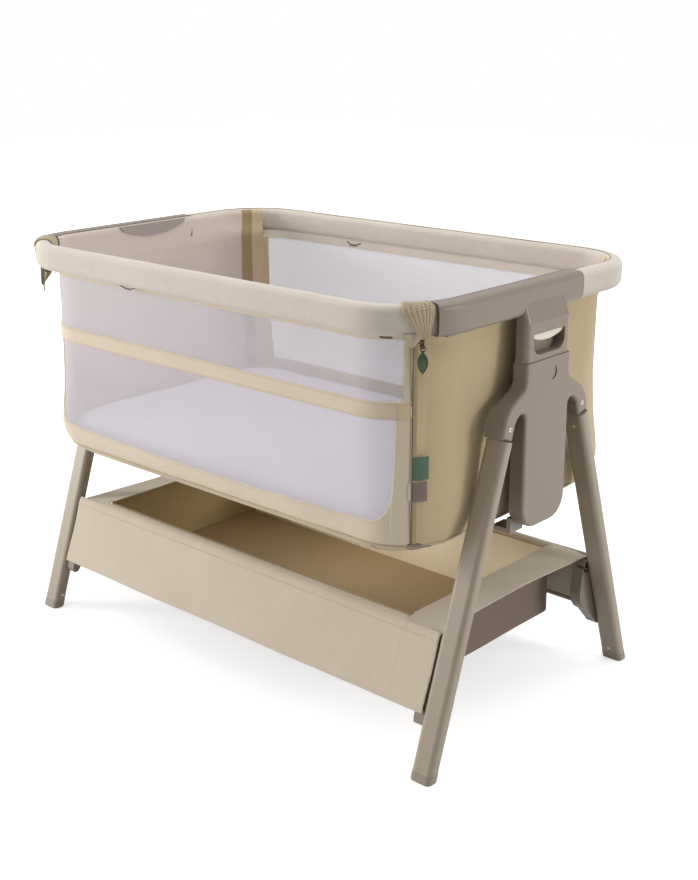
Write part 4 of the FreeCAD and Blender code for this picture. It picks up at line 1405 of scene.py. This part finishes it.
LABELS = (("green label", 452.5, 486.5, 23.0), ("taupe label", 421.5, 449.0, 21.0))   # lower, upper edge, width
STRAP_X, STRAP_Z, TAB_X, TAB_Z = (351.0, 396.0), (333.0, 346.3), (401.0, 412.0), (341.5, 353.5)
# rail loops: piece, node, body, y at the ends and in the middle, height and how far the middle hangs
LOOPS = (("back_rail_loop", "back_loop", "bassinet", 272.2, 268.6, 665.6, 5.2),
         ("front_rail_loop", "front_loop", "drop_side", -286.0, -286.0, 666.2, 4.6))


def build_labels():
    made = finishes()
    pieces = []
    for finish, low, high, width in LABELS:
        def out(d, z, low=low):
            t = (d - arc_at_zip(z, 2.0)) / 22.0
            return 1.7 + 1.2 * math.sin(math.pi * min(1, max(0, t))) + 0.4 * math.sin((z - low) / 5.0) * t

        pieces.append(wall_piece("label", (zip_line(1.5), zip_line(1.5 + width)), (low, high), (14, 14), out,
                                 [made[finish]], 1.3, 1.0, 0.04))
    pieces.append(wall_piece("tab", (zip_line(-4.5), zip_line(-0.8)), (423.0, 448.0), (4, 10), 1.4,
                             [made["band cloth"]], 1.2, 0.8, 0.05))
    settle(join("side_woven_labels", pieces), "bassinet", "label_cloth", "side_labels")


def build_strap():
    """Flat webbing under the front corner with a dark edge on three sides, and the small tab beside it."""
    made = finishes()
    strap = wall_piece("strap", [x_line(x) for x in STRAP_X], STRAP_Z, (24, 10), 2.0, [made["webbing"]], 1.5, 0.8, 0.04)
    rim = []
    for t in evenly(0, 1, 40):
        x = 351.5 + 43.5 * min(1.0, max(0.0, 1.25 * t - 0.125))
        z = 333.6 + 12.4 * max(0.0, 1 - 8 * t, 8 * t - 7)
        rim.append(tub_point(arc_at_x(x, z), z, 2.2))
    edge = tube("edge", rim, 0.7, made["rail piping"], sides=6)
    tab = wall_piece("tab", [x_line(x) for x in TAB_X], TAB_Z, (8, 8), 2.4, [made["taupe label"]], 1.4, 0.8, 0.06)
    settle(join("base_strap", [strap, edge, tab]), "bassinet", "web_cloth", "base_loop")


def build_loops():
    dark = finishes()["latch plastic"]
    for name, node, body, y0, y1, z, drop in LOOPS:
        low, high = box_mm(node)
        path = []
        for t in evenly(0, 1, 24):
            sag = math.sin(math.pi * t)
            path.append((low.x + 2 + (high.x - low.x - 4) * t, y0 + (y1 - y0) * sag, z - drop * sag))
        loop = tube("loop", path, 1.2, dark, sides=10, section=(1.2, 0.8))
        middle = (low.x + high.x) / 2
        knot = tube("stop", [(middle - 7, y1, z - drop), (middle + 7, y1, z - drop)], 1.5, dark, sides=10)
        settle(join(name, [loop, knot]), body, "web_cloth", node)


# ---- base and mattress ----------------------------------------------------------------------------
class CRIB_OT_base(CribOperator, bpy.types.Operator):
    """Cloth bowl under the mattress with its piped seam"""
    bl_idname = "crib.base"
    bl_label = "Base"

    def execute(self, context):
        build_base()
        return {"FINISHED"}


BOWL_TURN = 2200                              # length given to one turn of the bowls' cloth and of its waves


def build_base():
    made = finishes()
    stations = 240
    levels = [(z, 1.0) for z in (TUB_SEAM - 0.6, 346, 343, 340, 337, 334, 331, 328.5, 326, 324, 322.5, 321.4)]
    levels += [(321.2, k) for k in (0.97, 0.92, 0.85, 0.75, 0.6, 0.42, 0.22, 0.06)]
    grid, uvs = [], []
    for i in range(stations):
        share = i / stations - 0.5
        row, marks, run = [], [], 0.0
        for z, k in levels:
            plan = tuple(v * k for v in tub_size(z))
            d = share * round_length(*plan)
            if row:
                run += math.dist(plan_out(plan, d, 0.0, z), row[-1])
            row.append(plan_out(plan, d, 0.5 * ripple(share * BOWL_TURN, z * 2, 38.0, 6.0) * k, z - 0.8 * (1 - k)))
            marks.append((share * BOWL_TURN, run))
        grid.append(row)
        uvs.append(marks)
    bowl = recalculate(shell("bowl", grid, CLOTH, [made["base cloth"]], flip=True, wrap=True, uvs=uvs))
    half = half_way_round(TUB_SEAM)
    piping = [plan_out(tub_size(TUB_SEAM), d, 0.6, TUB_SEAM) for d in evenly(-half, half, 300)[:-1]]
    cord = tube("piping", piping, 1.35, made["wall cloth"], closed=True)
    settle(join("base_bowl", [bowl, cord]), "bassinet", "base_cloth", "base_cover")

    z = TUB_SEAM - 5.0
    run = []
    for d in evenly(-half_way_round(z), half_way_round(z), 240):
        x, y, nx, ny = plan_point(*tub_size(z), d)
        run.append(((x + nx * 0.5, y + ny * 0.5, z), (nx, ny, -0.5)))
    stitches("base_stitching", [run], "bassinet", "base_cloth")


class CRIB_OT_mattress(CribOperator, bpy.types.Operator):
    """Padded mattress, swelled by a short cloth simulation"""
    bl_idname = "crib.mattress"
    bl_label = "Mattress"

    def execute(self, context):
        build_mattress()
        return {"FINISHED"}


def build_mattress():
    low, high = box_mm("mattress")
    shrink = size_mm("mattress_swell") * 0.6
    half_x, half_y = high.x - shrink - 1.5, high.y - shrink - 1.5
    z0, z1 = low.z + 0.6, high.z - shrink - 1.0
    levels = [(z0, 34), (z0 + 3, 20), (z0 + 9, 9), (z0 + 18, 3), ((z0 + z1) / 2, 0), (z1 - 14, 2), (z1 - 6, 9),
              (z1 - 2, 20), (z1, 36)]
    stations = 120
    verts = []
    for z, inset in levels:
        plan = half_x - inset, half_y - inset, 84.0 - inset * 0.4
        verts += [plan_out(plan, (i / stations - 0.5) * round_length(*plan), 0.0, z) for i in range(stations)]
    obj = link_mesh("mattress_pad", verts, ring_faces(len(levels), stations), None, None,
                    [finishes()["mattress knit"]])
    recalculate(obj)
    remesh = obj.modifiers.new("even", "REMESH")
    remesh.mode, remesh.voxel_size, remesh.use_smooth_shade = "VOXEL", 9 * MM, True
    apply_modifiers(obj)
    swell(obj, sizes().mattress_swell, 14)
    smooth = obj.modifiers.new("smooth", "SUBSURF")
    smooth.levels = smooth.render_levels = 1
    apply_modifiers(obj)
    keep_inside(obj, low, high)
    obj.data.shade_smooth()
    settle(obj, "bassinet", "mattress_cloth", "mattress")


def keep_inside(obj, low, high):
    """Levels off what has swelled past the space that the frame gives the pad, as the board under it does."""
    for v in obj.data.vertices:
        for axis in range(3):
            v.co[axis] = min(max(v.co[axis], low[axis] * MM), high[axis] * MM)


def swell(obj, cap, frames):
    """Blows the pad up a little under its own cover, no point moving further than cap."""
    rest = np.array([v.co for v in obj.data.vertices], float)
    cloth = obj.modifiers.new("cloth", "CLOTH")
    s = cloth.settings
    s.use_pressure, s.uniform_pressure_force = True, 4.0
    s.quality, s.mass = 5, 0.25
    s.tension_stiffness = s.compression_stiffness = 12.0
    s.bending_stiffness = 0.6
    s.effector_weights.gravity = 0.0
    cloth.point_cache.frame_start, cloth.point_cache.frame_end = 1, frames
    scene = bpy.context.scene
    for f in range(1, frames + 1):
        scene.frame_set(f)
    graph = bpy.context.evaluated_depsgraph_get()
    moved = bpy.data.meshes.new_from_object(obj.evaluated_get(graph))
    shift = np.array([v.co for v in moved.vertices], float) - rest
    length = np.linalg.norm(shift, axis=1, keepdims=True)
    shift *= np.minimum(1.0, cap / np.maximum(length, 1e-9))
    obj.modifiers.clear()
    obj.data.vertices.foreach_set("co", (rest + shift).astype(np.float32).ravel())
    obj.data.update()
    bpy.data.meshes.remove(moved)
    scene.frame_set(1)


# ---- storage shelf ----------------------------------------------------------------------------------
class CRIB_OT_shelf(CribOperator, bpy.types.Operator):
    """Aprons, flaps and box of the storage shelf"""
    bl_idname = "crib.shelf"
    bl_label = "Storage shelf"

    def execute(self, context):
        build_aprons()
        build_flaps()
        build_box()
        return {"FINISHED"}


APRON_THICK, APRON_BULGE, HEM_Y, HEM_Z = 2.2, 2.4, 244.4, 95.4
# section of an apron: (distance from the middle, height) from the box over the tube down to the hem
APRON_PROFILE = ((182.2, 194.0), (182.4, 204.0), (184.6, 209.6), (189.5, 212.6), (195.0, 212.9), (200.5, 210.8),
                 (204.6, 206.6), (207.6, 201.0), (211.4, 191.0), (216.0, 178.5), (221.0, 165.0), (226.4, 150.0),
                 (231.8, 135.0), (237.0, 120.0), (241.8, 106.0), (245.0, 96.5))
FLAP_INNER, FLAP_OUTER, FLAP_HOLLOW, FLAP_HALF = 366.8, 435.0, 11.5, 200.5


def build_aprons():
    cloth_finish = finishes()["apron cloth"]
    wave = size_mm("apron_ripple")
    for side, sign in (("front", -1), ("back", 1)):
        grid, uvs = [], []
        for t in spread(150, 0.006):
            x = APRON_X * (2 * t - 1)
            beside_box = step(abs(x), 366, 372) > 0.5
            row, marks, run = [], [], 0.0
            for k, (y, z) in enumerate(APRON_PROFILE):
                if beside_box and k < 6:
                    y, z = 200.5 + 0.02 * k, 208.6 + 0.4 * k
                fall = step(k, 6, 15)
                y += wave * fall * ripple(x, 2.0 * z, 85.0, 2.0 + sign) - APRON_BULGE * math.sin(math.pi * fall)
                if k >= 6:
                    z -= 0.96 * fall * (1 - (x / APRON_X) ** 2)
                row.append((x, sign * y, z))
                run += math.dist(row[-1], row[-2]) if k else 0.0
                marks.append((x, run))
            grid.append(row)
            uvs.append(marks)
        cloth = recalculate(shell("apron", grid, APRON_THICK, [cloth_finish], 1.2, flip=sign < 0, uvs=uvs))
        hem = []
        for s in evenly(-1, 1, 160):
            y = HEM_Y - APRON_BULGE + wave * ripple(APRON_X * s, 192.0, 85.0, 2.0 + sign)
            hem.append((APRON_X * s * 0.999, sign * y, HEM_Z - 0.96 * (1 - s ** 2)))
        rolled = tube("hem", hem, 3.1, cloth_finish, sides=10)
        settle(join(f"{side}_hanging_apron", [cloth, rolled]), "stand", "apron_cloth", f"{side}_apron")
        row = [((APRON_X * s * 0.995, sign * 208.8, 198.2), (0, sign * 0.9, 0.3)) for s in evenly(-1, 1, 160)]
        stitches(f"{side}_apron_stitching", [row], "stand", "apron_cloth")


def build_flaps():
    for side, sign in ENDS:
        grid, uvs = [], []
        for t in spread(60, 0.01):
            y = FLAP_HALF * (2 * t - 1)
            hollow = 1 - (y / FLAP_HALF) ** 2
            outer = FLAP_OUTER - FLAP_HOLLOW * hollow
            inner = FLAP_INNER - 3.0 * step(abs(y), 180, 176)
            row, marks = [], []
            for s in spread(14, 0.05):
                x = inner + (outer - inner) * s
                z = 212.3 - 6.0 * s - 1.2 * math.sin(math.pi * s) * hollow + 0.5 * ripple(x, y, 30.0, 2.0)
                row.append((sign * x, y, z))
                marks.append((y, x))
            grid.append(row)
            uvs.append(marks)
        flap = shell(f"{side}_shelf_flap", grid, 2.2, [finishes()["apron cloth"]], 1.2, flip=sign > 0, uvs=uvs)
        settle(recalculate(flap), "stand", "apron_cloth", f"{side}_end_flap")


def build_box():
    """Open cloth box: outer walls of coated cloth, lighter inside, its long walls drawn in a little."""
    made = finishes()
    stations = 300
    levels = [(BOX_TOP, 1.0), (BOX_TOP - 3, 1.0)] + [(BOX_TOP - 3 - k * 11.4, 1.0) for k in range(1, 10)]
    levels += [(BOX_LOW + 9, 1.0), (BOX_LOW + 5, 0.998), (BOX_LOW + 2, 0.992), (BOX_LOW + 0.8, 0.98)]
    levels += [(BOX_LOW + 0.4, k) for k in (0.95, 0.9, 0.82, 0.7, 0.55, 0.35, 0.15, 0.04)]
    grid, uvs = [], []
    for i in range(stations):
        share = i / stations
        row, marks, run = [], [], 0.0
        for z, k in levels:
            plan = a, b, _ = BOX_X * k, BOX_Y * k, 5.0 * k
            d = (share - 0.5) * round_length(*plan)
            x, y, _, _ = plan_point(*plan, d)
            drawn = hump(z, BOX_LOW - 10, BOX_TOP + 4) * min(1.0, abs(abs(x) - a) / 60 + abs(abs(y) - b) / 60)
            folds = 0.5 * ripple(share * BOWL_TURN, z * 2, 50.0, 8.0) * step(BOX_TOP - z, 0, 20)
            row.append(plan_out(plan, d, folds - 3.5 * drawn * step(k, 0.9, 1.0), z))
            run += math.dist(row[-1], row[-2]) if len(row) > 1 else 0.0
            marks.append((share * BOWL_TURN, run))
        grid.append(row)
        uvs.append(marks)
    cloths = [made["box outside cloth"], made["box end cloth"], made["box inside cloth"]]
    box = recalculate(shell("storage_cloth_box", grid, 2.4, cloths, flip=True, wrap=True, uvs=uvs))
    for face in box.data.polygons:
        at_rim = face.center.z > (BOX_TOP - 4) * MM
        if at_rim or face.material_index == 2 and abs(face.center.x) > (BOX_X - 12) * MM:
            face.material_index = 1
    settle(box, "stand", "box_cloth", "storage_box")


# ---- fasteners ----------------------------------------------------------------------------------------
class CRIB_OT_screws(CribOperator, bpy.types.Operator):
    """Domed socket screws of the forks, legs and feet"""
    bl_idname = "crib.screws"
    bl_label = "Screws"

    def execute(self, context):
        build_screws()
        return {"FINISHED"}


HOUSING_FACE, FORK_Y, FORK_Z, LEG_SCREW_Z, FOOT_SCREW_Z, SUNK = 474.0, 94.5, 507.5, 466.0, 24.0, 0.05


def screw_master():
    """Pan head one millimetre in radius, with a hexagonal socket, looking along Z."""
    sides, verts = 24, []
    turns = [2 * math.pi * k / sides for k in range(sides)]
    rings = ((1.0, 0.0), (0.98, 0.14), (0.86, 0.25), (0.66, 0.30), (0.50, 0.31))
    for r, z in rings:
        verts += [(r * math.cos(t), r * math.sin(t), z) for t in turns]
    for depth in (0.31, 0.08):
        for t in turns:
            flat = 0.42 * math.cos(math.pi / 6) / math.cos((t + math.pi / 6) % (math.pi / 3) - math.pi / 6)
            verts.append((flat * math.cos(t), flat * math.sin(t), depth))
    return master("screw", verts, ring_faces(len(rings) + 2, sides))


def build_screws():
    steel = finishes()["screw steel"]
    lean = math.atan(LEG_LEAN)
    head = screw_master()

    def corners(x, y, z, nx, ny, nz):
        return [((sx * x, sy * y, z), (sx * nx, sy * ny, nz)) for sx in (1, -1) for sy in (1, -1)]

    def leg_face(z):
        """Middle of the leg's inner leaning face at height z."""
        n = (0.0, -math.cos(lean), -math.sin(lean))
        return corners(LEG_X, LEG_Y0 - LEG_LEAN * z - LEG_HY + n[1] * SUNK, z, *n)

    forks = corners(HOUSING_FACE - SUNK, FORK_Y, FORK_Z, 1.0, 0.0, 0.0)
    feet = corners(LEG_X - LEG_HX + SUNK, LEG_Y0 - LEG_LEAN * FOOT_SCREW_Z, FOOT_SCREW_Z, -1.0, 0.0, 0.0)
    heads = [grown("heads", AT_POINTS, [points], head, size, steel)
             for points, size in ((forks, 4.2), (leg_face(LEG_SCREW_Z), 3.4))]
    settle(join("fork_screw_heads", heads), "stand", "screw_steel", "fork_screws")
    low = grown("foot_screw_heads", AT_POINTS, [leg_face(FOOT_SCREW_Z) + feet], head, 2.9, steel)
    settle(low, "stand", "screw_steel", "foot_screws")
    bpy.data.objects.remove(head)


# ---- panel, registration and run ------------------------------------------------------------------------
OPERATORS = (CRIB_OT_stage, CRIB_OT_frame_finishes, CRIB_OT_rails, CRIB_OT_gathers, CRIB_OT_front_side,
             CRIB_OT_end_walls, CRIB_OT_back_side, CRIB_OT_zips, CRIB_OT_labels, CRIB_OT_base, CRIB_OT_mattress,
             CRIB_OT_shelf, CRIB_OT_screws)


class CRIB_PT_panel(bpy.types.Panel):
    """Sizes, colours and pieces of the crib"""
    bl_idname = "CRIB_PT_panel"
    bl_label = "Bedside Sleeper Crib"
    bl_space_type = "VIEW_3D"
    bl_region_type = "UI"
    bl_category = "Crib"

    def draw(self, context):
        for group in (context.scene.crib_sizes, context.scene.crib_colours):
            box = self.layout.box()
            for key in group.bl_rna.properties.keys():
                if key not in ("rna_type", "name"):
                    box.prop(group, key)
        for operator in OPERATORS:
            self.layout.operator(operator.bl_idname)


CLASSES = (CribSizes, CribColours) + OPERATORS + (CRIB_PT_panel,)


def register():
    for cls in CLASSES:
        bpy.utils.register_class(cls)
    bpy.types.Scene.crib_sizes = bpy.props.PointerProperty(type=CribSizes)
    bpy.types.Scene.crib_colours = bpy.props.PointerProperty(type=CribColours)


def unregister():
    del bpy.types.Scene.crib_colours
    del bpy.types.Scene.crib_sizes
    for cls in reversed(CLASSES):
        bpy.utils.unregister_class(cls)


def main():
    register()
    for operator in OPERATORS:
        group, name = operator.bl_idname.split(".")
        getattr(getattr(bpy.ops, group), name)()


if __name__ == "__main__":
    main()
